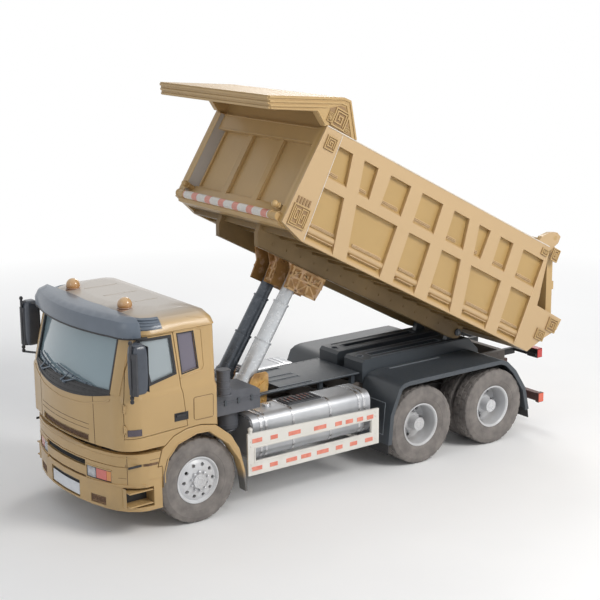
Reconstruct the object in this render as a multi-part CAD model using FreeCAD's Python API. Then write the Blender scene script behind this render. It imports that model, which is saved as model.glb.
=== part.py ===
import FreeCAD, Part
import math
import os

# Three-axle tipping lorry, standing on its wheels with the body raised.
# Millimetres. Front of the lorry points to -Y, its left side to +X, up is +Z.
# Y is measured from the front axle and Z from the ground; the last step
# moves the origin to the middle of the footprint.

os.makedirs("parts", exist_ok=True)
V = FreeCAD.Vector

# Wheels and axles
TYRE_R = 545.0
TYRE_W = 300.0
RIM_R = 295.0
AXLE_Z = TYRE_R
FRONT_Y = 0.0
MID_Y = 3575.0
REAR_Y = 4927.0
FRONT_TYRE_X = 1039.0
OUTER_TYRE_X = 1086.0
INNER_TYRE_X = 756.0
KINGPIN_X = 950.0
SPINDLE_R = 45.0
RUN_GAP = 0.2

# Chassis
RAIL_IN = 367.0
RAIL_OUT = 430.0
RAIL_TOP = 1050.0
RAIL_LOW = 790.0
RAIL_FRONT = -1000.0
RAIL_BACK = 5900.0
DECK_Z = 1210.0
SUB_TOP = 1376.0
SUB_IN = 80.0
SUB_OUT = 490.0
HALF_W = 1250.0

# Tipping body: pivot, angle at rest, and the body's own corner when lowered
TIP_Y = 4870.0
TIP_Z = 1500.0
TIP_REST = 27.7
TIP_PIN_R = 35.0
BODY_REAR = 5567.0
BODY_LOW = 1601.0
WALL_IN = 1165.0
WALL_SKIN = 1190.0
BEAM_IN = 410.0
BEAM_OUT = 490.0
BEAM_DEEP = 215.0

# Hanging tailgate
GATE_Y = 6040.0
GATE_Z = 2860.0
GATE_LEN = 1340.0
GATE_HALF = 1155.0
GATE_PIN_R = 26.0

# Hoist
HOIST_Y = 1050.0
HOIST_Z = 950.0
HOIST_X = 232.0
HOIST_DEG = 57.03
STAGE_OUT = 528.0
BARREL_R = 125.0
BARREL_BORE = 118.0
STAGE_R = (112.0, 101.0, 90.0)
STAGE_TOP = (558.0, 586.0, 560.0)
STAGE_LEN = (980.0, 970.0, 915.0)
COLLAR = 22.0
EYE_AT = 620.0

# Cab
CAB_LOW = 1130.0
CAB_T = 55.0
DOOR_GAP = 8.0
CAB_PIVOT_Y = -1100.0
CAB_PIVOT_Z = 850.0
CAB_PIN_R = 18.0
HINGE_X = 1162.0
HINGE_Y = -1002.4
HINGE_ROWS = (1345.0, 1600.0)
SHUT_DEG = 46.0


def block(x0, x1, y0, y1, z0, z1):
    return Part.makeBox(x1 - x0, y1 - y0, z1 - z0, V(x0, y0, z0))


def face_of(points):
    return Part.Face(Part.makePolygon(points + [points[0]]))


def side_plate(points, x0, x1):
    """Outline in the side view (y, z), as thick as x0 to x1."""
    face = face_of([V(x0, y, z) for y, z in points])
    return face.extrude(V(x1 - x0, 0, 0))


def plan_plate(points, z0, z1):
    """Outline in the plan view (x, y), from z0 up to z1."""
    face = face_of([V(x, y, z0) for x, y in points])
    return face.extrude(V(0, 0, z1 - z0))


def front_plate(points, y0, y1):
    """Outline in the front view (x, z), from y0 back to y1."""
    face = face_of([V(x, y0, z) for x, z in points])
    return face.extrude(V(0, y1 - y0, 0))


def rod(p, q, r):
    a = V(*p)
    d = V(*q) - a
    return Part.makeCylinder(r, d.Length, a, d)


def tube(p, q, r_out, r_in):
    return rod(p, q, r_out).cut(rod(p, q, r_in))


def turned(profile, x, y, z):
    """Ring profile of (x, r) points turned about the axle line through y, z."""
    face = face_of([V(x + a, y, z + r) for a, r in profile])
    return face.revolve(V(x, y, z), V(1, 0, 0), 360)


def mirrored(shape):
    return shape.mirror(V(0, 0, 0), V(1, 0, 0))


def joined(shapes):
    out = shapes[0].fuse(shapes[1:]) if len(shapes) > 1 else shapes[0]
    return out.removeSplitter()


def both(shape):
    return Part.makeCompound([shape, mirrored(shape)])


def group(shapes):
    return Part.makeCompound(shapes)


def ring_of(points, t):
    """Outline moved inwards by t, for a bent sheet of that thickness."""
    out = []
    n = len(points)
    for i in range(n):
        y, z = points[i]
        a = points[max(i - 1, 0)]
        b = points[min(i + 1, n - 1)]
        dy, dz = b[0] - a[0], b[1] - a[1]
        length = math.hypot(dy, dz)
        out.append((y + t * dz / length, z - t * dy / length))
    return out


def bent_sheet(points, t, x0, x1):
    """Open line of (y, z) points thickened by t to its right-hand side."""
    return side_plate(points + ring_of(points, t)[::-1], x0, x1)


parts = {}


# Ladder frame with a rear towing jaw bore in its last crossmember
def make_frame():
    web = 9.0
    rail = block(RAIL_IN, RAIL_OUT, RAIL_FRONT, RAIL_BACK, RAIL_LOW, RAIL_TOP)
    inner = block(RAIL_IN, RAIL_OUT - web, RAIL_FRONT, RAIL_BACK, RAIL_LOW + web, RAIL_TOP - web)
    pieces = [rail.cut(inner), mirrored(rail.cut(inner))]
    x = RAIL_OUT - web
    for y in (-960, 1750, 2500, 3150, 4250, 5350):
        pieces.append(block(-x, x, y - 35, y + 35, RAIL_LOW + 30, RAIL_TOP - 40))
    tail = block(-RAIL_OUT, RAIL_OUT, RAIL_BACK - 90, RAIL_BACK, RAIL_LOW, RAIL_TOP)
    pieces.append(tail)
    for side in (1, -1):
        x0, x1 = sorted((side * (RAIL_IN + 3), side * (RAIL_OUT - 3)))
        pieces.append(block(x0, x1, -1140, RAIL_FRONT, 815, 885))
        pieces.append(block(x0, x1, 120, 220, RAIL_TOP, CAB_LOW - 0.3))
        pieces.append(rod((side * 400, CAB_PIVOT_Y, CAB_PIVOT_Z), (side * 456, CAB_PIVOT_Y, CAB_PIVOT_Z), CAB_PIN_R))
    out = joined(pieces)
    return out.cut(rod((0, RAIL_BACK + 1, 900), (0, RAIL_BACK - 61, 900), 30.0))


# Dark plate over the frame behind the cab, open where the cylinders pass
def make_deck_cover():
    plate = block(-475, 475, 640, 3080, DECK_Z - 20, DECK_Z)
    feet = []
    for y in (700, 2450, 3000):
        for x in (RAIL_IN + 3, -RAIL_OUT):
            feet.append(block(x, x + 60, y - 30, y + 30, RAIL_TOP, DECK_Z - 20))
    out = joined([plate] + feet)
    low, high = DECK_Z - 30, DECK_Z + 10
    for x0, x1, y0, y1 in ((88, 410, 990, 1795), (64, 94, 1690, 2320), (366, 410, 1690, 2320)):
        slot = block(x0, x1, y0, y1, low, high)
        out = out.cut(slot).cut(mirrored(slot))
    return out.cut(block(-70, 70, 1710, 1770, low, high))


# Two broad slotted rails on the frame, with the lugs and the shaft of the tipping pivot
def make_subframe():
    outline = [(3120, RAIL_TOP), (3120, SUB_TOP - 40), (3160, SUB_TOP), (5100, SUB_TOP),
               (5290, 1180), (5290, RAIL_TOP)]
    rail = side_plate(outline, SUB_IN, SUB_OUT)
    rail = rail.cut(rod((285, 3230, SUB_TOP - 60), (285, 3230, SUB_TOP + 1), 42))
    rail = rail.cut(block(235, 335, 3400, 4660, SUB_TOP - 60, SUB_TOP + 1))
    lug = side_plate([(TIP_Y - 105, SUB_TOP - 5), (TIP_Y - 55, TIP_Z + 40), (TIP_Y - 25, TIP_Z + 68),
                      (TIP_Y + 25, TIP_Z + 68), (TIP_Y + 50, TIP_Z + 40), (TIP_Y + 75, SUB_TOP - 5)],
                     300, 380)
    shaft = rod((-SUB_OUT - 30, TIP_Y, TIP_Z), (SUB_OUT + 30, TIP_Y, TIP_Z), TIP_PIN_R)
    collar = rod((BEAM_OUT + 6, TIP_Y, TIP_Z), (BEAM_OUT + 30, TIP_Y, TIP_Z), 52)
    return joined([rail, mirrored(rail), lug, mirrored(lug), shaft, collar, mirrored(collar)])


# Outline of the bumper in plan, right half from the middle of the front to the rear end
BUMPER = [(0, -1240), (320, -1224), (620, -1178), (860, -1112), (1010, -1050), (1120, -965),
          (1200, -860), (1245, -740), (1245, -560)]
BUMPER_LOW = 350.0
BUMPER_TOP = 1070.0
LAMP_BAY = (520, 935, 690, 835)
GRILLE_BAY = (590, 845, 385, 490)


def bumper_body(depth):
    """Bumper outline filled to the middle, its front moved back by depth."""
    half = [(x, y + depth) for x, y in BUMPER[:-1]] + [BUMPER[-1]]
    outline = half + [(-x, y) for x, y in half[::-1] if x > 0]
    return plan_plate(outline, BUMPER_LOW, BUMPER_TOP)


def recess(x0, x1, z0, z1, depth):
    cutter = block(x0, x1, -1300, -900, z0, z1)
    return cutter.cut(bumper_body(depth))


# Bumper with lamp bays, slots, step openings and treads
def make_bumper():
    body = bumper_body(0)
    back = [(0, -1175), (320, -1160), (600, -1115), (830, -1055), (940, -1005), (1000, -950), (1000, -500)]
    back += [(-x, y) for x, y in back[::-1] if x > 0]
    body = body.cut(plan_plate(back, BUMPER_LOW - 1, BUMPER_TOP + 1))
    edge = side_plate([(-1300, 1035), (-1232, 1035), (-1190, 1071), (-1300, 1071)], -1300, 1300)
    groove = recess(-1150, 1150, 905, 917, 14)
    cutters = [edge, groove, recess(-500, 500, 807, 890, 40), recess(-480, 500, 662, 692, 25),
               recess(-370, 370, 372, 590, 30)]
    for x0, x1, z0, z1 in (LAMP_BAY, (-LAMP_BAY[1], -LAMP_BAY[0]) + LAMP_BAY[2:]):
        cutters.append(recess(x0, x1, z0, z1, 45))
    for x0, x1, z0, z1 in (GRILLE_BAY, (-GRILLE_BAY[1], -GRILLE_BAY[0]) + GRILLE_BAY[2:]):
        cutters.append(recess(x0, x1, z0, z1, 24))
    step = block(1060, 1300, -1010, -672, 402, 648)
    vent = block(1215, 1300, -1005, -690, 915, 948)
    tier = block(1236, 1300, -1120, -540, 300, 744)
    arch_seat = side_plate([(-622, 872), (-556, 1100), (-500, 1100), (-500, 872)], 1100, 1300)
    cutters += [step, vent, tier, arch_seat]
    cutters += [mirrored(c) for c in (step, vent, tier, arch_seat)]
    for cutter in cutters:
        body = body.cut(cutter)
    pieces = [body]
    for side in (1, -1):
        x0, x1 = sorted((side * RAIL_IN, side * RAIL_OUT))
        pieces.append(block(x0, x1, -1165, -1141, RAIL_LOW, 900))
        x0, x1 = sorted((side * 1055, side * 1225))
        pieces.append(block(x0, x1, -1000, -680, 430, 444))
        pieces.append(block(x0, x1, -1000, -680, 600, 614))
        x0, x1 = sorted((side * RAIL_OUT, side * 1005))
        pieces.append(block(x0, x1, -700, -640, 640, 700))
        x0, x1 = sorted((side * RAIL_OUT, side * (RAIL_OUT + 12)))
        pieces.append(block(x0, x1, -700, -640, 640, 900))
    body = joined(pieces)
    sweep = rod((KINGPIN_X, 0, 360), (KINGPIN_X, 0, 730), 582)
    arm_room = block(430, 460, -1180, -1130, 960, 1075)
    for cutter in (sweep, arm_room):
        body = body.cut(cutter).cut(mirrored(cutter))
    return body


def make_headlamps():
    x0, x1, z0, z1 = LAMP_BAY
    lamp = block(x0, x1, -1300, -900, z0, z1).common(bumper_body(10)).cut(bumper_body(45))
    return both(lamp)


def make_bumper_grille():
    x0, x1, z0, z1 = GRILLE_BAY
    grille = block(x0, x1, -1300, -900, z0, z1).common(bumper_body(12)).cut(bumper_body(24))
    return both(grille)


# Wheel arches: a bent lip round the tyre, hung on the frame by a bracket
def make_front_arches():
    outer = [(-610, 880), (-548, 1085), (-380, 1215), (-205, 1270), (0, 1282), (218, 1240),
             (440, 1060), (560, 860), (640, 560), (668, 276)]
    inner = [(640, 276), (602, 540), (545, 720), (390, 955), (120, 1172), (-60, 1180),
             (-340, 1095), (-484, 944), (-540, 760), (-545, 600)]
    lip = side_plate([(-555, 600), (-555, 880)] + outer + inner, 1105, HALF_W)
    stay = block(RAIL_OUT, 1110, 300, 340, 1060, 1100)
    foot = block(RAIL_OUT, RAIL_OUT + 40, 300, 340, 860, 1100)
    return both(joined([lip, stay, foot]))


# Engine and gearbox in plain blocks at their real place
def make_engine():
    web_face = RAIL_OUT - 9.0
    engine = block(-330, 330, -740, 420, 500, 1080)
    box = block(-95, 95, 400, 960, 640, 985)
    mount = block(-web_face, web_face, -300, -200, 820, 880)
    rear_mount = block(-web_face, web_face, 360, 420, 820, 880)
    return joined([engine, box, mount, rear_mount])


# Dropped front axle beam ending in an eye round each kingpin
def make_front_axle():
    beam = front_plate([(-905, 475), (-905, 595), (-780, 595), (-560, 460), (560, 460), (780, 595),
                        (905, 595), (905, 475), (760, 475), (600, 350), (-600, 350), (-760, 475)],
                       -45, 45)
    eye = rod((KINGPIN_X, 0, 470), (KINGPIN_X, 0, 600), 48)
    out = joined([beam, eye, mirrored(eye)])
    for x in (KINGPIN_X, -KINGPIN_X):
        out = out.cut(rod((x, 0, 460), (x, 0, 610), 22 + RUN_GAP))
    return out


# Driven rear axles with their spindles, and the propeller shaft
def make_rear_axles():
    pieces = []
    for y in (MID_Y, REAR_Y):
        axle = [rod((-600, y, AXLE_Z), (600, y, AXLE_Z), 72),
                rod((-1050, y, AXLE_Z), (1050, y, AXLE_Z), SPINDLE_R),
                Part.makeSphere(200, V(0, y, AXLE_Z)),
                rod((0, y - 300, AXLE_Z + 30), (0, y, AXLE_Z + 30), 95)]
        pieces.append(joined(axle))
    first = joined([pieces[0], rod((0, 1150, 800), (0, MID_Y - 250, AXLE_Z + 35), 55)])
    second = joined([pieces[1], rod((0, MID_Y + 150, AXLE_Z + 40), (0, REAR_Y - 250, AXLE_Z + 35), 55)])
    return joined([first, second])


# Leaf springs: one pack a side in front, one pack a side over both rear axles
def make_springs():
    front = side_plate([(-760, 780), (-700, 620), (-80, 470), (80, 470), (700, 620), (860, 780),
                        (800, 790), (660, 670), (80, 545), (-80, 545), (-660, 670), (-700, 790)],
                       RAIL_IN + 5, RAIL_OUT - 5)
    seat = block(RAIL_IN + 5, RAIL_OUT - 5, -75, 75, 460, 480)
    rear = side_plate([(MID_Y - 90, 617), (MID_Y + 90, 617), (4120, 700), (4380, 700),
                       (REAR_Y - 90, 617), (REAR_Y + 90, 617), (REAR_Y + 90, 660), (4420, 830),
                       (4080, 830), (MID_Y - 90, 660)], RAIL_OUT + 12, RAIL_OUT + 90)
    bracket = side_plate([(4140, 780), (4360, 780), (4420, 1000), (4080, 1000)],
                         RAIL_OUT, RAIL_OUT + 12)
    return group([joined([front, seat]), mirrored(joined([front, seat])),
                  joined([rear, bracket]), mirrored(joined([rear, bracket]))])


# Rounded fuel tank on each side, on two brackets and under two straps
def make_fuel_tanks():
    x0, x1, z0, z1, r = 560.0, 1120.0, 590.0, 1165.0, 130.0
    outline = []
    for cx, cz, start in ((x1 - r, z1 - r, 0), (x0 + r, z1 - r, 90), (x0 + r, z0 + r, 180), (x1 - r, z0 + r, 270)):
        for k in range(7):
            a = math.radians(start + 15 * k)
            outline.append((cx + r * math.cos(a), cz + r * math.sin(a)))
    body = front_plate(outline, 850, 2750)
    pieces = [body]
    for y in (1240, 2360):
        pieces.append(block(RAIL_OUT, x0 + 60, y - 40, y + 40, 820, 900))
        pieces.append(block(RAIL_OUT, RAIL_OUT + 15, y - 40, y + 40, RAIL_LOW, 1000))
    return both(joined(pieces))


# White side guard: a flat frame of two bars and end posts, with its brackets
def make_side_guards():
    outline = [(700, 451), (2812, 451), (2812, 940), (700, 1008)]
    panel = side_plate(outline, 1196, 1226)
    window = side_plate([(815, 632), (2680, 622), (2680, 795), (815, 801)], 1190, 1232)
    panel = panel.cut(window)
    pieces = [panel, rod((1211, 745, 1000), (1211, 745, 1050), 28)]
    for y in (940, 2560):
        pieces.append(block(RAIL_OUT, 1200, y - 20, y + 20, 520, 560))
        pieces.append(block(RAIL_OUT, RAIL_OUT + 14, y - 20, y + 20, 520, 900))
    return both(joined(pieces))


# Air cleaner, ringed intake tube and silencer behind the cab
def make_air_cleaner():
    box = side_plate([(390, 1240), (1050, 1240), (1050, 1480), (980, 1530), (640, 1535),
                      (590, 1640), (420, 1640), (390, 1600)], 560, 1000)
    intake = rod((1000, 500, 1500), (1000, 500, 1840), 84)
    drum = rod((760, 690, 1000), (760, 690, 1245), 150)
    leg = block(RAIL_OUT, 640, 760, 840, 1000, 1060)
    leg_up = block(RAIL_OUT, RAIL_OUT + 30, 760, 840, 860, 1060)
    bar = block(RAIL_OUT, 800, 430, 500, 1240, 1270)
    foot = block(RAIL_OUT, RAIL_OUT + 30, 430, 500, 900, 1270)
    return joined([box, intake, drum, leg, leg_up, bar, foot])


# Arched mudguard over both rear axles on each side
def make_rear_fenders():
    t = 22.0
    line = [(2960, 386), (3000, 800), (3150, 1150), (3230, 1200), (3330, 1220), (5030, 1220),
            (5160, 1175), (5330, 1020), (5530, 720), (5608, 389)]
    sheet = bent_sheet(line, t, 520, HALF_W)
    lip_line = bent_sheet(line, 62, HALF_W - 34, HALF_W)
    stays = []
    for y in (3700, 4800):
        stays.append(block(SUB_OUT, 620, y - 30, y + 30, 1150, 1200))
    return both(joined([sheet, lip_line] + stays))


# Upper lamp blocks and the low bar with its end blocks
def make_tail_lamps():
    lamp = block(690, 900, 6110, 6210, 985, 1120)
    arm = block(RAIL_OUT - 30, 890, 6080, 6112, 1010, 1050)
    stay = block(RAIL_OUT - 60, RAIL_OUT, RAIL_BACK, 6112, 960, 1050)
    return both(joined([lamp, arm, stay]))


def make_underrun_beam():
    beam = block(-1000, 1000, 6000, 6090, 372, 492)
    lamp = block(1000, 1060, 5995, 6100, 355, 500)
    drop = block(370, 430, 5890, 6010, 380, RAIL_LOW)
    head = block(370, 430, RAIL_BACK, 5960, RAIL_LOW - 60, RAIL_LOW + 120)
    return joined([beam, lamp, mirrored(lamp), drop, mirrored(drop), head, mirrored(head)])


# Ochre cradle that carries the trunnions of the two cylinders
def make_hoist_cradle():
    web_face = RAIL_OUT - 9.0
    side = side_plate([(1040, RAIL_TOP), (1560, RAIL_TOP), (1600, 1300), (1600, 1440), (1560, 1480),
                       (1380, 1480), (1320, 1420), (1240, 1260), (1060, 1120)], 384, 400)
    bearing = block(392, web_face, HOIST_Y - 60, HOIST_Y + 60, HOIST_Z - 60, HOIST_Z + 60)
    centre = block(-100, 100, HOIST_Y - 60, 1335, 870, 1010)
    beam = block(-web_face, web_face, 1265, 1335, 855, 912)
    bore = rod((-web_face - 1, HOIST_Y, HOIST_Z), (web_face + 1, HOIST_Y, HOIST_Z), 30 + RUN_GAP)
    low = joined([beam, centre]).cut(bore)
    ends = [bearing.cut(bore), mirrored(bearing).cut(bore)]
    return group([low] + ends + [side, mirrored(side)])


def along(x, t):
    """Point at distance t from the trunnion on the cylinder's centre line."""
    a = math.radians(HOIST_DEG)
    return (x, HOIST_Y + t * math.cos(a), HOIST_Z + t * math.sin(a))


# Outer barrels of the two telescopic cylinders, each on a trunnion
def make_hoist_barrels():
    x = HOIST_X
    body = rod(along(x, -470), along(x, 530), BARREL_R)
    gland = rod(along(x, 470), along(x, 530), BARREL_R + 11)
    ring = rod(along(x, 200), along(x, 236), BARREL_R + 3)
    foot = rod(along(x, -470), along(x, -430), BARREL_R + 6)
    stubs = rod((82, HOIST_Y, HOIST_Z), (410, HOIST_Y, HOIST_Z), 30)
    out = joined([body, gland, ring, foot, stubs])
    out = out.cut(rod(along(x, -450), along(x, 500), BARREL_BORE))
    out = out.cut(rod(along(x, 490), along(x, 531), STAGE_R[0] + RUN_GAP))
    return both(out)


# The sliding stages, drawn as far out as the raised body asks for
def make_stage(k):
    x = HOIST_X
    out_by = STAGE_OUT * (k + 1)
    top = STAGE_TOP[k] + out_by
    low = top - STAGE_LEN[k]
    body = rod(along(x, low), along(x, top), STAGE_R[k])
    if k < 2:
        bore = STAGE_R[k + 1]
        body = body.cut(rod(along(x, low + 20), along(x, top - 40), bore + 4))
        body = body.cut(rod(along(x, top - 50), along(x, top + 1), bore + RUN_GAP))
        collar = tube(along(x, top - COLLAR), along(x, top), STAGE_R[k] + 9, bore + RUN_GAP)
        return both(joined([body, collar]))
    eye = EYE_AT + out_by
    _, y, z = along(x, eye)
    head = rod(along(x, top - 10), along(x, eye + 10), 50)
    knuckle = rod((x - 58, y, z), (x + 58, y, z), 65)
    stub = rod((x - 135, y, z), (x + 135, y, z), 28)
    return both(joined([body, head, knuckle, stub]))


def body_point(s, h):
    """Body coordinates (s forward of the tail corner, h above the floor) to (y, z) when lowered."""
    return (BODY_REAR - s, BODY_LOW + h)


def body_plate(points, x0, x1):
    return side_plate([body_point(s, h) for s, h in points], x0, x1)


def body_box(x0, x1, s0, s1, h0, h1):
    return body_plate([(s0, h0), (s1, h0), (s1, h1), (s0, h1)], x0, x1)


def raised(shape):
    out = shape.copy()
    out.rotate(V(0, TIP_Y, TIP_Z), V(1, 0, 0), -TIP_REST)
    return out


# Body floor on its cross members and two long beams, with the pivot ears and the tail ramp
def make_body_floor():
    front = 4700.0
    plate = body_box(-WALL_IN, WALL_IN, 0, front, 60, 100)
    pieces = [plate]
    for i in range(16):
        s = 110 + i * 296
        pieces.append(body_box(-WALL_IN, WALL_IN, s - 35, s + 35, 0, 60))
    for x0, x1 in ((BEAM_IN, BEAM_OUT), (-BEAM_OUT, -BEAM_IN)):
        tip = BODY_REAR - TIP_Y
        beam = body_plate([(tip - 30, 60), (4640, 60), (4640, -60), (4560, -BEAM_DEEP),
                           (tip + 60, -BEAM_DEEP), (tip, -BEAM_DEEP + 10)], x0, x1)
        ear = rod((x0, TIP_Y, TIP_Z), (x1, TIP_Y, TIP_Z), 92)
        web = body_box(x0, x1, tip - 80, tip + 90, -80, 60)
        pieces.append(joined([beam, ear, web]))
    ramp = body_plate([(0, 0), (400, 0), (400, 100), (100, 300), (-20, 300), (-100, 220)], -WALL_IN, WALL_IN)
    hollow = body_plate([(20, 20), (360, 20), (360, 60), (90, 262), (-10, 262), (-62, 212)],
                        -WALL_IN + 20, WALL_IN - 20)
    pieces.append(ramp.cut(hollow))
    out = joined(pieces)
    out = out.cut(rod((-600, TIP_Y, TIP_Z), (600, TIP_Y, TIP_Z), TIP_PIN_R + RUN_GAP))
    return raised(out)


# Ribbed side wall with cells in two rows, a roll along its foot and the tail cheek
def make_body_side():
    outline = [(0, 0), (4513, 0), (4905, 113), (4802, 1438), (331, 1500)]
    skin = body_plate(outline, WALL_IN, WALL_SKIN)
    x0, x1 = WALL_SKIN - 2, HALF_W
    ribs = []
    tall = [(4276, 4068, 3973, 3731), (3174, 2950, 3110, 2869), (2540, 2307, 2437, 2195),
            (2000, 1790, 1706, 1474), (1044, 814, 953, 716)]
    for a, b, c, d in tall:
        ribs.append(body_plate([(d, 0), (c, 0), (a, 1330), (b, 1330)], x0, x1))
    for a, b, c, d in ((3800, 3556, 3748, 3539), (1539, 1322, 1529, 1283)):
        ribs.append(body_plate([(d, 800), (c, 800), (a, 1330), (b, 1330)], x0, x1))
    ribs.append(body_plate([(0, 0), (299, 0), (344, 1330), (331, 1500), (310, 1440)], x0, x1))
    ribs.append(body_plate([(4485, 0), (4513, 0), (4905, 113), (4802, 1438), (4525, 1440)], x0, x1))
    ribs.append(body_plate([(310, 1280), (4780, 1280), (4802, 1438), (331, 1500)], x0, x1))
    ribs.append(body_plate([(150, 730), (4700, 730), (4700, 860), (180, 860)], x0, x1))
    ledge = front_plate([(x0, BODY_LOW), (x1, BODY_LOW), (x1, BODY_LOW + 14), (x0, BODY_LOW + 100)],
                        BODY_REAR - 4500, BODY_REAR - 100)
    shelf = front_plate([(x0, BODY_LOW + 855), (x1, BODY_LOW + 855), (x0, BODY_LOW + 905)],
                        BODY_REAR - 4500, BODY_REAR - 200)
    roll = rod((WALL_SKIN, BODY_REAR - 4500, BODY_LOW + 170), (WALL_SKIN, BODY_REAR - 100, BODY_LOW + 170), 46)
    roll = roll.common(block(x0, x1, 0, BODY_REAR, BODY_LOW, BODY_LOW + 400))
    cheek = body_plate([(150, 0), (0, 0), (-230, 280), (-420, 470), (-440, 640), (150, 660)], 1170, HALF_W)
    ear = body_plate([(580, 1480), (560, 1567), (436, 1676), (294, 1730), (200, 1700), (200, 1600), (311, 1440)],
                     WALL_SKIN - 10, HALF_W)
    out = raised(joined([skin] + ribs + [ledge, shelf, roll, cheek, ear]))
    return out.cut(rod((1100, GATE_Y, GATE_Z), (1300, GATE_Y, GATE_Z), GATE_PIN_R + RUN_GAP))


# Front wall between the corner posts: three panels, a top beam, a sloping foot and the round bar
def make_front_wall():
    def at(d, h):
        lean = 4905 - (h - 113) * (4905 - 4802) / (1438 - 113)
        return (lean - d, h)

    def bar(d0, d1, h0, h1, x0, x1):
        return body_plate([at(d0, h0), at(d1, h0), at(d1, h1), at(d0, h1)], x0, x1)

    pieces = [bar(140, 200, 100, 1400, -WALL_IN, WALL_IN), bar(50, 200, 1180, 1410, -WALL_IN, WALL_IN)]
    for x in (-350, 350):
        pieces.append(bar(92, 150, 300, 1190, x - 55, x + 55))
    pieces.append(body_plate([at(0, 100), at(0, 180), at(110, 340), at(200, 340), at(200, 60), at(30, 60)],
                             -WALL_IN, WALL_IN))
    low, high = at(0, 100), at(0, 1400)
    run = V(0, low[0] - high[0], 1300)
    y0, z0 = body_point(*low)
    for side in (1, -1):
        points = [(1030, 150), (1120, 0), (WALL_IN, 0), (WALL_IN, 200), (1030, 200)]
        face = face_of([V(side * x, y0 + d, z0) for x, d in points])
        pieces.append(face.extrude(run))
        y, z = body_point(4965, 300)
        pieces.append(rod((side * 1050, y + 260, z - 20), (side * 1050, y, z), 34))
        pieces.append(Part.makeSphere(46, V(side * 1050, y, z)))
    y, z = body_point(4922, 165)
    pieces.append(rod((-1150, y, z), (1150, y, z), 52))
    return raised(joined(pieces))


# Canopy over the front of the body, hollow below, with a web at each side
def make_canopy():
    outer = [(5690, 1260), (5790, 1400), (4720, 1850), (4600, 1860), (4290, 1445.4), (4802, 1438.3),
             (4840, 1410), (5040, 1520)]
    web = body_plate(outer, -HALF_W, HALF_W)
    under = body_plate([(4300, 1300), (4360, 1480), (4640, 1790), (4700, 1790), (5600, 1400), (5640, 1240),
                        (5100, 1200)], -1160, 1160)
    lip = body_plate([(5600, 1290), (5690, 1262), (5790, 1400), (5680, 1440)], -HALF_W, HALF_W)
    back = body_plate([(4660, 1411), (4700, 1411), (4700, 1800), (4660, 1800)], -1165, 1165)
    shell = web.cut(under)
    return raised(joined([shell, lip, back]))


# Bracket plates under the floor that take the heads of the cylinders
def make_hoist_head():
    cheek = [(3995, 0), (3965, -150), (3860, -290), (3850, -540), (3290, -540), (3250, -330),
             (3235, -150), (3235, 0)]
    flange = body_box(72, 404, 3235, 3995, -14, 0).cut(body_box(150, 314, 3560, 3750, -15, 1))
    half = joined([body_plate(cheek, 374, 404), body_plate(cheek, 72, 86), flange])
    web = body_box(-80, 80, 3815, 3832, -520, 0)
    tie = body_box(-80, 80, 3235, 3995, -14, 0)
    return raised(joined([half, mirrored(half), web, tie]))


# Tailgate hanging from two ears above the side walls
def make_tailgate():
    half, y, z = GATE_HALF, GATE_Y, GATE_Z
    low = z - GATE_LEN
    skin = block(-half, half, y - 56, y - 20, low, z - 40)
    pieces = [skin]
    for x in (-half, -620, -60, 500, half - 120):
        pieces.append(block(x, x + 120, y - 20, y + 60, low + 120, z - 60))
    for z0 in (low, low + 560, z - 190):
        pieces.append(block(-half, half, y - 20, y + 90, z0, z0 + 120))
    for x0 in (-half, half - 60):
        pieces.append(side_plate([(y - 56, z - 60), (y - 40, z + 40), (y + 40, z + 40), (y + 60, z - 60)],
                                 x0, x0 + 60))
    pieces.append(rod((half - 60, y, z), (HALF_W - 8, y, z), GATE_PIN_R))
    pieces.append(rod((-HALF_W + 8, y, z), (-half + 60, y, z), GATE_PIN_R))
    return joined(pieces)


# Rings of the cab's outline: height, front, half width, back, front and back corner radius
CAB_RINGS = [
    (1130, -1235, 1250, 270, 300, 70),
    (1735, -1235, 1250, 270, 300, 70),
    (1800, -1207, 1222, 262, 290, 70),
    (2500, -1041, 1210, 252, 285, 70),
    (2514, -1036, 1226, 264, 285, 80),
    (2590, -1010, 1200, 245, 280, 90),
    (2670, -935, 1130, 190, 260, 120),
    (2725, -815, 1010, 70, 240, 150),
    (2748, -675, 860, -60, 220, 150),
]
CAB_BOW = 145.0


def ring_wire(z, front, half, back, rf, rb, inset):
    front, half, back = front + inset, half - inset, back - inset
    rf, rb = max(rf - inset, 20), max(rb - inset, 20)
    points = []
    for k in range(5):
        x = (half - rf) * k / 5
        points.append((x, front + CAB_BOW * (k / 5) ** 2))
    for k in range(9):
        a = math.radians(90.0 * k / 8)
        points.append((half - rf + rf * math.sin(a), front + CAB_BOW + rf - rf * math.cos(a)))
    for k in range(6):
        a = math.radians(90.0 * k / 5)
        points.append((half - rb + rb * math.cos(a), back - rb + rb * math.sin(a)))
    points += [(-x, y) for x, y in points[::-1] if x > 0.001]
    return Part.makePolygon([V(x, y, z) for x, y in points + points[:1]])


def cab_solid(inset, low=None, rings=None):
    wires = []
    for i, (z, front, half, back, rf, rb) in enumerate(rings or CAB_RINGS):
        if i == 0:
            z = low if low is not None else z
        elif i > 4:
            z = z - inset * (i - 4) / 4.0
        wires.append(ring_wire(z, front, half, back, rf, rb, inset))
    return Part.makeLoft(wires, True, True)


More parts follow.
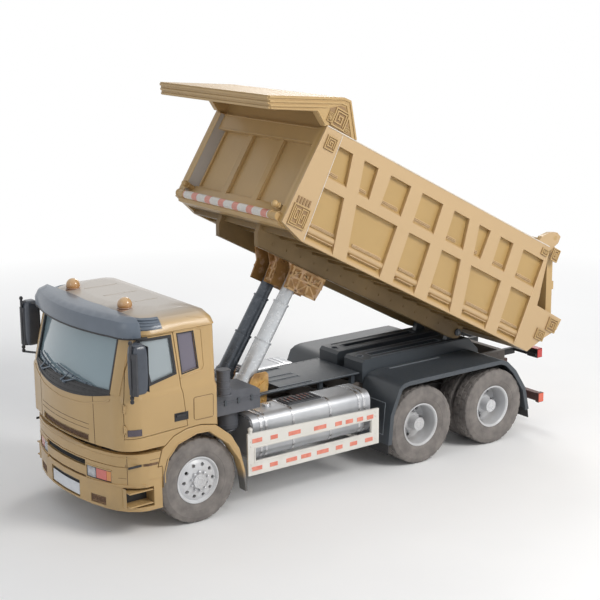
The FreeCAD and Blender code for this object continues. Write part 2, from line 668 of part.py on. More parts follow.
ARCH = [(-625, 1090), (-556, 1097), (-384, 1229), (-206, 1284), (0, 1296), (224, 1253), (360, 1148), (380, 1090)]
DOOR = [(-1200, 1275), (-190, 1318), (-342, 2485), (-800, 2485), (-1010, 1860), (-1200, 1800)]
DOOR_HOLE = [(-1210, 1267), (-181, 1310), (-333, 2493), (-806, 2493), (-1019, 1864), (-1210, 1806)]
DOOR_GLASS = [(-783, 2454), (-382, 2449), (-325, 1991), (-666, 1916)]
REAR_LIGHT = [(-279, 2461), (-60, 2460), (-3, 2002), (-226, 1966)]
SCREEN = [(-1074, 1802), (1074, 1802), (1053, 2490), (-1053, 2490)]
BACK_LIGHT = [(-420, 2000), (420, 2000), (420, 2380), (-420, 2380)]


def at_hinge(t, n):
    """Plan position t along the skin forward of the left hinge line and n out of the skin."""
    a = math.radians(SHUT_DEG)
    return (HINGE_X - math.sin(a) * t + math.cos(a) * n, HINGE_Y - math.cos(a) * t - math.sin(a) * n)


def hinge_rod(r, z0, z1):
    return rod((HINGE_X, HINGE_Y, z0), (HINGE_X, HINGE_Y, z1), r)


def hinge_leaf(t0, t1, z0, z1):
    return plan_plate([at_hinge(t0, -14), at_hinge(t1, -14), at_hinge(t1, 6), at_hinge(t0, 6)], z0, z1)


def door_region(outline, shift):
    """Door outline in side view, ended in front by a cut square to the rounded corner."""
    p0 = at_hinge(shift, 240)
    p1 = at_hinge(shift, -220)
    plan = plan_plate([p0, p1, (p1[0], 400), (1500, 400), (1500, p0[1])], 1200, 2600)
    return plan.common(side_plate(outline, 900, 1400))


def mesh_slot(a, b):
    band = block(-580, 580, -1300, -1050, 1150, 1222)
    return cab_solid(a).cut(cab_solid(b)).common(band)


# Two hinge pins a side, each held between two lugs on the edge of the door opening
def with_hinge_pins(shell):
    for z in HINGE_ROWS:
        room = hinge_rod(17, z + 12, z + 98)
        pieces = [hinge_rod(7, z, z + 110)]
        for z0 in (z, z + 96):
            pieces += [hinge_rod(12, z0, z0 + 14), hinge_leaf(0, 30, z0, z0 + 14)]
        pin = joined(pieces)
        shell = joined([shell.cut(room).cut(mirrored(room)), pin, mirrored(pin)])
    return shell


# Cab body in one shell: floor, walls and roof, open at the doors and lights
def make_cab_shell():
    outer = cab_solid(0)
    inner = cab_solid(CAB_T, CAB_LOW + CAB_T)
    shell = outer.cut(inner)
    arch_box = side_plate([(y, z + 30) if z > 1095 else (y, 1120) for y, z in ARCH], 1060, 1245)
    shell = joined([shell, arch_box.common(outer)])
    arch = side_plate(ARCH, 1092, 1300)
    shell = shell.cut(arch).cut(mirrored(arch))
    shell = joined([shell, mirrored(arch_box).common(outer).cut(mirrored(arch))])
    hole = door_region(DOOR_HOLE, DOOR_GAP)
    shell = shell.cut(hole).cut(mirrored(hole))
    shell = with_hinge_pins(shell)
    light = side_plate(REAR_LIGHT, 900, 1400)
    shell = shell.cut(light).cut(mirrored(light))
    shell = shell.cut(front_plate(SCREEN, -1400, -650))
    shell = shell.cut(front_plate(BACK_LIGHT, 150, 400))
    shell = shell.cut(mesh_slot(0, 32))
    arm = side_plate([(-1128, 828), (-1095, 814), (-1062, 838), (-800, 1131), (-900, 1131)], 438, 452)
    eye = rod((438, CAB_PIVOT_Y, CAB_PIVOT_Z), (452, CAB_PIVOT_Y, CAB_PIVOT_Z), 36)
    out = joined([shell, arm, eye, mirrored(arm), mirrored(eye)])
    return out.cut(rod((-460, CAB_PIVOT_Y, CAB_PIVOT_Z), (460, CAB_PIVOT_Y, CAB_PIVOT_Z), CAB_PIN_R + RUN_GAP))


def pane(cutter, a=16, b=24):
    return cab_solid(a).cut(cab_solid(b)).common(cutter)


def make_windscreen():
    return pane(front_plate(SCREEN, -1400, -650))


def make_cab_windows():
    side = pane(side_plate(REAR_LIGHT, 900, 1400))
    back = pane(front_plate(BACK_LIGHT, 150, 400))
    return group([side, mirrored(side), back])


def make_door():
    shell = cab_solid(0).cut(cab_solid(CAB_T))
    door = shell.common(door_region(DOOR, 0))
    for z in HINGE_ROWS:
        room = hinge_rod(17, z - 5, z + 115)
        knuckle = tube((HINGE_X, HINGE_Y, z + 16), (HINGE_X, HINGE_Y, z + 94), 12, 7 + RUN_GAP)
        door = joined([door.cut(room), knuckle, hinge_leaf(-34, -9, z + 16, z + 94)])
    return door.cut(side_plate(DOOR_GLASS, 900, 1400))


def make_door_glass():
    return pane(side_plate(DOOR_GLASS, 900, 1400))


# Tall mirror on an upright tube, held to the door by two arms
def make_mirror():
    post = rod((1420, -1030, 1790), (1420, -1030, 2540), 16)
    arms = [rod((1420, -1030, 1800), (1150, -860, 1800), 14),
            rod((1420, -1030, 2470), (1150, -797, 2440), 14)]
    head = plan_plate([(1355, -1000), (1375, -1035), (1470, -1035), (1500, -1005), (1500, -985),
                       (1355, -965)], 1890, 2390)
    link = block(1400, 1440, -1046, -1010, 1960, 2320)
    out = joined([post] + arms + [head, link])
    return out.cut(cab_solid(0))


# Sun visor round the top of the windscreen
def make_visor():
    wires = []
    for z, front, half, back, r in ((2490, -1160, 1262, 200, 300), (2600, -1165, 1262, 200, 300),
                                    (2680, -1125, 1240, 190, 290), (2725, -1035, 1190, 160, 280)):
        wires.append(ring_wire(z, front, half, back, r, 60, 0))
    body = Part.makeLoft(wires, True, True)
    body = body.cut(cab_solid(0))
    return body.common(block(-1400, 1400, -1300, -790, 2400, 2800))


def make_beacons():
    out = []
    for x in (660, -660):
        base = rod((x, -660, 2660), (x, -660, 2728), 92)
        collar = rod((x, -660, 2728), (x, -660, 2750), 82)
        dome = Part.makeSphere(90, V(x, -660, 2775))
        out.append(joined([base, collar, dome]).cut(cab_solid(0)))
    return group(out)


def front_y(x, z, gap):
    """Face of the cab or the windscreen at that height, gap in front of it."""
    low, middle, high = CAB_RINGS[1:4]
    a, b = (low, middle) if z < middle[0] else (middle, high)
    front = a[1] + (b[1] - a[1]) * (z - a[0]) / (b[0] - a[0])
    return front + CAB_BOW * (x / 940.0) ** 2 - gap


def make_wipers():
    out = []
    for x in (-620, 200):
        hub = rod((x, front_y(x, 1765, 34), 1765), (x, front_y(x, 1765, -40), 1765), 22)
        mid = x + 260
        arm = rod((x, front_y(x, 1765, 26), 1765), (mid, front_y(mid, 1845, 14), 1845), 9)
        pieces = [hub, arm]
        for k in range(4):
            xa, xb = x + 40 + 115 * k, x + 40 + 115 * (k + 1)
            pieces.append(rod((xa, front_y(xa, 1843, 10), 1843), (xb, front_y(xb, 1843, 10), 1843), 9))
        out.append(joined(pieces).cut(cab_solid(0)))
    return group(out)


def make_seats():
    out = []
    for x in (-620, 620):
        base = block(x - 200, x + 200, -330, 60, CAB_LOW + CAB_T, 1480)
        cushion = block(x - 250, x + 250, -420, 100, 1480, 1600)
        back = side_plate([(20, 1600), (120, 1600), (190, 2250), (100, 2260)], x - 240, x + 240)
        out.append(joined([base, cushion, back]))
    return group(out)


def make_dashboard():
    dash = side_plate([(-1080, 1500), (-820, 1500), (-780, 1650), (-900, 1740), (-1080, 1740)], -900, 900)
    dash = dash.common(cab_solid(CAB_T + 3))
    leg = block(-60, 60, -900, -800, CAB_LOW + CAB_T, 1510)
    column = rod((620, -850, 1600), (620, -640, 1780), 28)
    wheel = Part.makeTorus(225, 17, V(620, -640, 1780), V(0, -0.76, -0.65))
    spoke = block(410, 830, -655, -625, 1768, 1790)
    return joined([dash, leg, column, wheel, spoke])


def make_front_mesh():
    return mesh_slot(22, 32)


TYRE = [(-105, 295), (-140, 350), (-150, 430), (-142, 500), (-118, 536), (-60, 545), (60, 545),
        (118, 536), (142, 500), (150, 430), (140, 350), (105, 295)]


def make_tyre_pair(y):
    return group([turned(TYRE, OUTER_TYRE_X, y, AXLE_Z), turned(TYRE, INNER_TYRE_X, y, AXLE_Z)])


def make_front_tyre():
    return turned(TYRE, FRONT_TYRE_X, FRONT_Y, AXLE_Z)


# Front wheel: barrel, a disc that bulges outwards and a closed hub
def make_front_rim():
    bore = SPINDLE_R + RUN_GAP
    profile = [(-105, 272), (-105, 295), (-118, 300), (-118, 308), (118, 308), (118, 300)]
    barrel = [(-105, 270), (-105, 295), (105, 295), (118, 300), (118, 285), (90, 262), (60, 262), (40, 270)]
    disc = [(50, 266), (84, 262), (120, 215), (132, 150), (150, 145), (150, 0.01), (90, 0.01),
            (90, bore), (40, bore), (40, 120), (100, 130), (88, 200), (60, 240)]
    hub = [(40, bore), (40, 120), (100, 120), (100, bore)]
    x = FRONT_TYRE_X
    out = joined([turned(barrel, x, FRONT_Y, AXLE_Z), turned(hub, x, FRONT_Y, AXLE_Z),
                  rod((x + 100, FRONT_Y, AXLE_Z), (x + 168, FRONT_Y, AXLE_Z), 92),
                  turned([(60, 262), (84, 268), (118, 218), (132, 150), (132, 80), (90, 80), (90, 110),
                          (104, 140), (92, 200), (62, 240)], x, FRONT_Y, AXLE_Z)])
    holes = []
    for k in range(10):
        a = math.radians(36 * k)
        y, z = 205 * math.cos(a), 205 * math.sin(a)
        holes.append(rod((x + 40, y, AXLE_Z + z), (x + 160, y, AXLE_Z + z), 24))
    for cutter in holes:
        out = out.cut(cutter)
    return out


# Twin rear wheel: two barrels on one dished disc, a hub and a long cap
def make_twin_rim(y):
    bore = SPINDLE_R + RUN_GAP
    mid = (OUTER_TYRE_X + INNER_TYRE_X) / 2.0
    span = OUTER_TYRE_X - mid
    inner = [(-span - 105, 270), (-span - 105, 295), (-12, 295), (-12, 270)]
    outer = [(12, 270), (12, 295), (span + 105, 295), (span + 118, 302), (span + 118, 286), (span + 100, 270)]
    disc = [(-16, 100), (-16, 272), (16, 272), (16, 100)]
    hub = [(-75, bore), (-75, 135), (95, 135), (110, 110), (240, 92), (255, 70), (255, 0.01),
           (145, 0.01), (145, bore)]
    pieces = [turned(p, mid, y, AXLE_Z) for p in (inner, outer, disc)]
    pieces.append(turned(hub[:4] + [(110, bore)], mid, y, AXLE_Z))
    pieces.append(rod((mid + 135, y, AXLE_Z), (mid + 250, y, AXLE_Z), 90))
    pieces.append(turned([(100, bore), (100, 95), (136, 90), (136, bore)], mid, y, AXLE_Z))
    out = joined(pieces)
    for k in range(8):
        a = math.radians(45 * k)
        dy, dz = 205 * math.cos(a), 205 * math.sin(a)
        out = out.cut(rod((mid - 20, y + dy, AXLE_Z + dz), (mid + 20, y + dy, AXLE_Z + dz), 26))
    return out


# Steering knuckle: two ears on the kingpin and the spindle of the wheel
def make_knuckle():
    pin = rod((KINGPIN_X, 0, 425), (KINGPIN_X, 0, 650), 22)
    low = block(KINGPIN_X - 45, KINGPIN_X + 80, -40, 40, 425, 464)
    top = block(KINGPIN_X - 45, KINGPIN_X + 80, -40, 40, 606, 650)
    web = block(KINGPIN_X + 58, KINGPIN_X + 82, -60, 60, 425, 650)
    spindle = rod((KINGPIN_X + 80, 0, AXLE_Z), (FRONT_TYRE_X + 85, 0, AXLE_Z), SPINDLE_R)
    arm = block(KINGPIN_X - 40, KINGPIN_X - 10, 40, 200, 428, 452)
    return joined([pin, low, top, web, spindle, arm])


def add_pair(left, right, shape):
    parts[left] = shape
    parts[right] = mirrored(shape)


def main():
    parts["frame"] = make_frame()
    parts["deck_cover"] = make_deck_cover()
    parts["subframe_rails"] = make_subframe()
    parts["bumper"] = make_bumper()
    parts["headlamps"] = make_headlamps()
    parts["bumper_grille"] = make_bumper_grille()
    parts["front_arches"] = make_front_arches()
    parts["engine"] = make_engine()
    parts["front_axle"] = make_front_axle()
    parts["rear_axles"] = make_rear_axles()
    parts["springs"] = make_springs()
    parts["fuel_tanks"] = make_fuel_tanks()
    parts["side_guards"] = make_side_guards()
    parts["air_cleaner"] = make_air_cleaner()
    parts["rear_fenders"] = make_rear_fenders()
    parts["tail_lamps"] = make_tail_lamps()
    parts["underrun_beam"] = make_underrun_beam()
    parts["hoist_cradle"] = make_hoist_cradle()
    parts["hoist_barrels"] = make_hoist_barrels()
    for k in range(3):
        parts["hoist_stage_%d" % (k + 1)] = make_stage(k)
    parts["body_floor"] = make_body_floor()
    add_pair("body_side_left", "body_side_right", make_body_side())
    parts["body_front_wall"] = make_front_wall()
    parts["body_canopy"] = make_canopy()
    parts["hoist_head"] = make_hoist_head()
    parts["tailgate"] = make_tailgate()
    parts["cab_shell"] = make_cab_shell()
    parts["windscreen"] = make_windscreen()
    parts["cab_windows"] = make_cab_windows()
    parts["front_mesh"] = make_front_mesh()
    parts["visor"] = make_visor()
    parts["beacons"] = make_beacons()
    parts["wipers"] = make_wipers()
    parts["seats"] = make_seats()
    parts["dashboard"] = make_dashboard()
    add_pair("door_left", "door_right", make_door())
    add_pair("door_glass_left", "door_glass_right", make_door_glass())
    add_pair("mirror_left", "mirror_right", make_mirror())
    add_pair("knuckle_left", "knuckle_right", make_knuckle())
    add_pair("tyre_front_left", "tyre_front_right", make_front_tyre())
    add_pair("rim_front_left", "rim_front_right", make_front_rim())
    add_pair("tyres_mid_left", "tyres_mid_right", make_tyre_pair(MID_Y))
    add_pair("rim_mid_left", "rim_mid_right", make_twin_rim(MID_Y))
    add_pair("tyres_rear_left", "tyres_rear_right", make_tyre_pair(REAR_Y))
    add_pair("rim_rear_left", "rim_rear_right", make_twin_rim(REAR_Y))

    box = FreeCAD.BoundBox()
    for shape in parts.values():
        box.add(shape.BoundBox)
    shift = V(-(box.XMin + box.XMax) / 2, -(box.YMin + box.YMax) / 2, -box.ZMin)
    print("shift", shift, "size", box.XLength, box.YLength, box.ZLength)
    for name, shape in parts.items():
        shape.translate(shift)
        if not shape.isValid():
            print("invalid", name)
        print(name, len(shape.Solids), round(shape.Volume / 1e9, 4))
        shape.exportStep("parts/%s.step" % name)


main()
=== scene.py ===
import bmesh
import bpy
from math import acos, asin, cos, exp, hypot, pi, radians, sin
from mathutils import Matrix, Vector


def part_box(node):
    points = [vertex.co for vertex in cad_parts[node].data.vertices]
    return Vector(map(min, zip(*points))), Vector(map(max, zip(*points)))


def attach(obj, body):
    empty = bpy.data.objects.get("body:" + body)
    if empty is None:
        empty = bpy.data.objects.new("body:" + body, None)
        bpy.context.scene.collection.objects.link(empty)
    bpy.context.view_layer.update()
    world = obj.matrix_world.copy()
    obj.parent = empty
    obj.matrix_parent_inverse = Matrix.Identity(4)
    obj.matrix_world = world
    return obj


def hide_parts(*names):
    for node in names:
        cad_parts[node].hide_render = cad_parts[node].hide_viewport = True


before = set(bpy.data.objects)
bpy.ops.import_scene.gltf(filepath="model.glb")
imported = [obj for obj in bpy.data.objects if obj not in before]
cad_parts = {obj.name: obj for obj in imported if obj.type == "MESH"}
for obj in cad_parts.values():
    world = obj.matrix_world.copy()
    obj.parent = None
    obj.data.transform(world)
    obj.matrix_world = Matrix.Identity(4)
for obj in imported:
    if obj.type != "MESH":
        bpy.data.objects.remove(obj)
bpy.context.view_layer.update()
scene = bpy.context.scene

# Place of everything: x is measured to the lorry's left from its middle, y from the
# front axle towards the tail, z up from the road. The camera stands a little above
# the cab roof, off the left front corner, with a long lens.
low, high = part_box("tyre_front_left")
AXLE_Y = (low.y + high.y) / 2


def at(x, y, z):
    return Vector((x, y + AXLE_Y, z))


turn, lift, roll = radians(53.789), radians(13.469), radians(-0.457)
back = Vector((sin(turn) * cos(lift), -cos(turn) * cos(lift), sin(lift)))
right = (-back).cross(Vector((0, 0, 1))).normalized()
up = right.cross(-back)
right, up = (right * cos(roll) + up * sin(roll),
             up * cos(roll) - right * sin(roll))
lens = bpy.data.cameras.new("camera")
lens.lens, lens.sensor_width, lens.clip_end = 85.85, 36.0, 200.0
camera = bpy.data.objects.new("camera", lens)
scene.collection.objects.link(camera)
stand = at(15.305, -8.786, 6.791)
rows = [(right[i], up[i], back[i], stand[i]) for i in range(3)]
camera.matrix_world = Matrix((*rows, (0, 0, 0, 1)))
scene.camera = camera

# Soft studio: a white floor that runs out to a world seen as white, a large lamp high
# on the left of the lorry, a weaker one before its front and one behind.
scene.view_settings.view_transform = "Standard"
world = bpy.data.worlds.new("studio")
scene.world = world
world.use_nodes = True


def lamp(name, place, target, size, power):
    data = bpy.data.lights.new(name, "AREA")
    data.shape, data.size, data.energy = "DISK", size, power
    data.color = (1.0, 0.98, 0.95)
    ob = bpy.data.objects.new(name, data)
    scene.collection.objects.link(ob)
    ob.location = place
    ob.rotation_euler = (Vector(target) - Vector(place)).to_track_quat("-Z", "Y").to_euler()


lamp("key", (13, 4, 12), (0, 0, 1.5), 7, 1650)
lamp("front", (3, -14, 7), (0, -2, 1.5), 6, 110)
lamp("rim", (-9, 9, 11), (0, 0, 2), 6, 620)


# Floor of the studio: a matt pale sheet that turns into glowing white far out, where
# a camera ray, a mirror or glass sees it.
class Flow:
    """A value on its way through a material; arithmetic on it adds the nodes."""

    def __init__(self, tree, out):
        self.tree, self.out = tree, out

    def node(self, kind, settings=None, values=None, out=0):
        n = self.tree.nodes.new("ShaderNode" + kind)
        for key, value in (settings or {}).items():
            setattr(n, key, value)
        for key, value in (values or {}).items():
            if isinstance(value, Flow):
                self.tree.links.new(value.out, n.inputs[key])
            else:
                n.inputs[key].default_value = value
        return Flow(self.tree, n.outputs[out])

    def math(self, operation, a, b=0.0):
        return self.node("Math", {"operation": operation}, {0: a, 1: b})

    def __add__(self, b):
        return self.math("ADD", self, b)

    def __sub__(self, b):
        return self.math("SUBTRACT", self, b)

    def __rsub__(self, b):
        return self.math("SUBTRACT", b, self)

    def __mul__(self, b):
        return self.math("MULTIPLY", self, b)

    __radd__, __rmul__ = __add__, __mul__

    def clip(self, lo, hi):
        """0 below lo, 1 above hi, even in between."""
        return self.node("MapRange", {"clamp": True}, {0: self, 1: lo, 2: hi})

    def mixed(self, a, b):
        """Colour a where this is 0 and b where it is 1."""
        colours = {0: self, 6: full(a), 7: full(b)}
        return self.node("Mix", {"data_type": "RGBA"}, colours, out=2)


def full(c):
    return c if isinstance(c, Flow) or len(c) == 4 else (*c, 1)


def tone(r, g, b):
    """Colour as seen on a screen, 0 to 255, turned to scene light."""
    light = [((v / 255 + 0.055) / 1.055) ** 2.4 if v > 10 else v / 255 / 12.92 for v in (r, g, b)]
    return tuple(light)


def shade(c, k):
    return tuple(v * k for v in c)


class Finish:
    """A new material: its tree, the place on the object, and a way to fill in the shader."""

    def __init__(self, name):
        self.material = bpy.data.materials.new(name)
        self.material.use_nodes = True
        tree = self.material.node_tree
        self.shader = tree.nodes["Principled BSDF"]
        self.flow = Flow(tree, None)
        self.place = self.flow.node("TexCoord", out=3)
        split = self.flow.node("SeparateXYZ", values={0: self.place})
        self.x, self.y, self.z = (Flow(tree, split.out.node.outputs[k]) for k in range(3))

    def noise(self, scale, detail=3.0, rough=0.55):
        values = {"Vector": self.place, "Scale": scale, "Detail": detail, "Roughness": rough}
        return self.flow.node("TexNoise", values=values)

    def bump(self, height, distance, strength=0.5):
        values = {"Height": height, "Distance": distance, "Strength": strength}
        return self.flow.node("Bump", values=values)

    def fill(self, **values):
        for key, value in values.items():
            key = key.replace("_", " ")
            if isinstance(value, Flow):
                self.flow.tree.links.new(value.out, self.shader.inputs[key])
            else:
                value = full(value) if isinstance(value, tuple) else value
                self.shader.inputs[key].default_value = value
        return self.material


HALF = 60
corners = [(-HALF, -HALF, 0), (HALF, -HALF, 0), (HALF, HALF, 0), (-HALF, HALF, 0)]
floor_mesh = bpy.data.meshes.new("floor")
floor_mesh.from_pydata(corners, [], [(0, 1, 2, 3)])
f = Finish("studio_floor")
pale = f.noise(0.4).clip(0.2, 0.8).mixed((0.9, 0.9, 0.9), (0.94, 0.94, 0.94))
paper = f.fill(Base_Color=pale, Roughness=0.75)
floor_mesh.materials.append(paper)


def seen(flow):
    """1 for what the camera, a mirror or glass shows, 0 for the light that falls on things."""
    rays = flow.node("LightPath").out.node.outputs
    parts = [Flow(flow.tree, rays["Is %s Ray" % kind])
             for kind in ("Camera", "Glossy", "Transmission")]
    return (parts[0] + parts[1] + parts[2]).clip(0, 1)


def join(flow, factor, first, second, end):
    """Ends a tree in a mix of two shaders."""
    blend = flow.node("MixShader", values={0: factor, 1: first, 2: second})
    flow.tree.links.new(blend.out, flow.tree.nodes[end].inputs[0])


flow, sky, full_white = f.flow, Flow(world.node_tree, None), (1, 1, 1, 1)
far = flow.node("VectorMath", {"operation": "LENGTH"}, {0: f.place}, out=1).clip(7.0, 15.0)
glow = flow.node("Emission", values={"Color": full_white, "Strength": 1.0})
join(flow, far * seen(flow), Flow(flow.tree, f.shader.outputs[0]), glow, "Material Output")
daylight = sky.node("Background", values={"Color": (0.8, 0.82, 0.85, 1), "Strength": 0.62})
white = sky.node("Background", values={"Color": full_white, "Strength": 1.0})
join(sky, seen(sky), daylight, white, "World Output")
floor = bpy.data.objects.new("floor", floor_mesh)
scene.collection.objects.link(floor)


# Frame: two pressed steel side rails with their cross members, sprayed brown-grey and
# dulled by road dust. A stiffening rib runs along each rail and bolts hold the brackets.
DUST = tuple(v * 0.9 for v in tone(120, 104, 84))


def coat(name, colour, rough=0.38, dust=0.35, gloss=0.35, patch=0.08, over=None):
    """Sprayed paint: a little patchy, greyer and rougher where dust settles low down."""
    f = Finish(name)
    grain = f.noise(35, 2)
    patches = f.noise(0.9, 4).clip(0.3, 0.7)
    base = patches.mixed(shade(tone(*colour), 1 - patch), shade(tone(*colour), 1 + patch * 0.6))
    if over:
        base = over(f, base)
    dirt = (1 - f.z.clip(0.1, 1.3)) * f.noise(3.2, 5).clip(0.35, 0.75) * dust
    return f.fill(Base_Color=dirt.mixed(base, DUST),
                  Roughness=grain * 0.12 + (rough - 0.06) + dirt * 0.3,
                  Coat_Weight=gloss, Coat_Roughness=0.18, Normal=f.bump(grain, 0.0006, 0.25))


def dress(node, material, width=0.006):
    """A carried-over solid: its own finish, welded, with its edges rounded a little."""
    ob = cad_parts[node]
    ob.data.materials.clear()
    ob.data.materials.append(material)
    ob.modifiers.new("weld", "WELD").merge_threshold = 0.00005
    if width:
        bevel = ob.modifiers.new("bevel", "BEVEL")
        bevel.width, bevel.segments, bevel.limit_method = width, 2, "ANGLE"
        bevel.angle_limit, bevel.use_clamp_overlap = radians(35), True
    ob.modifiers.new("normals", "WEIGHTED_NORMAL").keep_sharp = False
    for p in ob.data.polygons:
        p.use_smooth = True


class Stock:
    """Bars, plates and turned shapes gathered into the mesh of one piece."""

    def __init__(self, name):
        self.name, self.points, self.faces = name, [], []

    def skin(self, rings, loop=False):
        """Joins rings of equally many points, each to the next, and closes the ends."""
        first, n, rows = len(self.points), len(rings[0]), len(rings)
        for ring in rings:
            self.points += [Vector(p) for p in ring]
        for i in range(rows if loop else rows - 1):
            a, b = first + i * n, first + (i + 1) % rows * n
            for k in range(n):
                m = (k + 1) % n
                self.faces.append((a + k, a + m, b + m, b + k))
        if not loop:
            last = first + rows * n - 1
            self.faces += [tuple(range(first, first + n)), tuple(range(last, last - n, -1))]
        return self

    def box(self, lo, hi):
        (x0, y0, z0), (x1, y1, z1) = lo, hi
        ends = ((y0, z0), (y1, z0), (y1, z1), (y0, z1))
        return self.skin([[at(x, y, z) for y, z in ends] for x in (x0, x1)])

    def plate(self, outline, through):
        through = Vector(through)
        return self.skin([outline, [p + through for p in outline]])

    def rod(self, a, b, r, sides=16, r2=None):
        a, b = Vector(a), Vector(b)
        axis = (b - a).normalized()
        u = axis.orthogonal().normalized()
        v = axis.cross(u)
        turns = [2 * pi * i / sides for i in range(sides)]
        return self.skin([[p + (u * cos(t) + v * sin(t)) * k for t in turns]
                          for p, k in ((a, r), (b, r if r2 is None else r2))])

    def lathe(self, outline, centre, axis, sides=48):
        """A closed outline of (distance along the axis, radius), turned about the axis."""
        axis = Vector(axis).normalized()
        u = axis.orthogonal().normalized()
        v = axis.cross(u)
        turns = [2 * pi * i / sides for i in range(sides)]
        return self.skin([[Vector(centre) + axis * d + (u * cos(t) + v * sin(t)) * r
                           for d, r in outline] for t in turns], loop=True)

    def hoop(self, a, b, inner, outer, centre, axis, sides=48):
        """A ring of square section that runs from a to b along the axis."""
        outline = [(a, inner), (a, outer), (b, outer), (b, inner)]
        return self.lathe(outline, centre, axis, sides)

    def bar(self, path, facing, wide, thick, sink=0.002, loop=False):
        """A flat bar along a path, its back sunk a little into what it lies on."""
        rings, n = [], len(path)
        for i, p in enumerate(path):
            before, after = path[i - 1], path[(i + 1) % n]
            runs = [(q - r).normalized() for q, r in ((p, before), (after, p))]
            if not loop:
                runs = runs[1:] if i == 0 else runs[:1] if i == n - 1 else runs
            out = facing[i] if isinstance(facing, list) else Vector(facing)
            out = out.normalized()
            sides = [run.cross(out).normalized() for run in runs]
            side = sum(sides, Vector()).normalized()
            side *= wide / 2 / max(side.dot(sides[0]), 0.5)
            low, high = p - out * sink, p + out * thick
            rings.append([low - side, low + side, high + side, high - side])
        return self.skin(rings, loop=loop)

    def lay(self, surface, path, wide, thick, loop=False, step=0.07):
        """A flat bar laid on a surface(a, b, lift) through the given (a, b) pairs."""
        run = []
        pairs = list(zip(path, path[1:] + path[:1])) if loop else list(zip(path, path[1:]))
        for (a0, b0), (a1, b1) in pairs:
            n = max(1, int(hypot(a1 - a0, b1 - b0) / step))
            run += [(a0 + (a1 - a0) * i / n, b0 + (b1 - b0) * i / n) for i in range(n)]
        if not loop:
            run.append(path[-1])
        feet = [surface(a, b, 0.0) for a, b in run]
        facing = [surface(a, b, 1.0) - surface(a, b, 0.0) for a, b in run]
        return self.bar(feet, facing, wide, thick, loop=loop)

    def edge(self, surface, a0, a1, b0, b1, wide, thick):
        """A flat bar laid round a rectangle on a surface."""
        corners = [(a0, b0), (a1, b0), (a1, b1), (a0, b1)]
        return self.lay(surface, corners, wide, thick, loop=True)

    def pad(self, surface, a0, a1, b0, b1, thick, na=6, nb=1, sink=0.002):
        """A plate on a surface(a, b, lift), bent with it."""
        rings = []
        for i in range(na + 1):
            a = a0 + (a1 - a0) * i / na
            crown = [surface(a, b0 + (b1 - b0) * k / nb, thick) for k in range(nb + 1)]
            rings.append([surface(a, b0, -sink)] + crown + [surface(a, b1, -sink)])
        return self.skin(rings)

    def bolts(self, places, axis, r=0.011, length=0.009):
        for p in places:
            self.rod(p, Vector(p) + Vector(axis) * length, r, 6)
        return self

    def make(self, body, material, slot, bevel=0.0, smooth=35, stands_for=()):
        mesh = bpy.data.meshes.new(self.name)
        mesh.from_pydata([tuple(p) for p in self.points], [], self.faces)
        bm = bmesh.new()
        bm.from_mesh(mesh)
        bmesh.ops.recalc_face_normals(bm, faces=bm.faces)
        bm.to_mesh(mesh)
        bm.free()
        mesh.materials.append(material)
        ob = bpy.data.objects.new(self.name, mesh)
        scene.collection.objects.link(ob)
        for p in mesh.polygons:
            p.use_smooth = True
        mesh.set_sharp_from_angle(angle=radians(smooth))
        if bevel:
            mod = ob.modifiers.new("bevel", "BEVEL")
            mod.width, mod.segments = bevel, 2
            mod.limit_method, mod.angle_limit = "ANGLE", radians(35)
        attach(ob, body)
        if stands_for:
            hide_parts(*stands_for)
        return ob


def face(origin, u, v):
    """A flat surface(a, b, lift) from its origin and the directions of a and b."""
    origin, u, v = Vector(origin), Vector(u), Vector(v)
    out = u.cross(v).normalized()
    return lambda a, b, lift: origin + u * a + v * b + out * lift


def flank(s, x):
    """The upright surface(y, z, lift) at x on side s of the lorry, facing outwards."""
    return lambda y, z, lift: at(s * (x + lift), y, z)


def level(z, x0=0.0, y0=0.0):
    """The level surface(x, y, lift) at height z, measured from x0 and y0."""
    return lambda x, y, lift: at(x0 + x, y0 + y, z + lift)


def stern(y0):
    """The upright surface(x, z, lift) at y0, facing the tail."""
    return lambda x, z, lift: at(x, y0 + lift, z)


def half(surface, s):
    """A surface whose first measure is counted from the middle out to side s."""
    return lambda a, b, lift: surface(s * a, b, lift)


UP = (0, 0, 1)
chassis_paint = coat("chassis_paint", (104, 97, 92), rough=0.55, gloss=0.0, dust=0.6)
dress("frame", chassis_paint, 0.003)
rib, bolts = Stock("frame_ribs"), Stock("frame_bolts")
for s in (1, -1):
    for y0, y1 in ((0.62, 1.14), (1.34, 2.26), (2.46, 2.96), (5.15, 5.8)):
        rib.pad(flank(s, 0.43), y0, y1, 0.915, 0.945, 0.01, 1)
    for k in range(22):
        y = -0.62 + 0.3 * k
        bolts.bolts([at(s * 0.429, y, 0.826), at(s * 0.429, y + 0.08, 1.012)], (s, 0, 0))
rib.make("chassis", chassis_paint, "chassis_paint", 0.004)
bolts.make("chassis", chassis_paint, "chassis_paint")

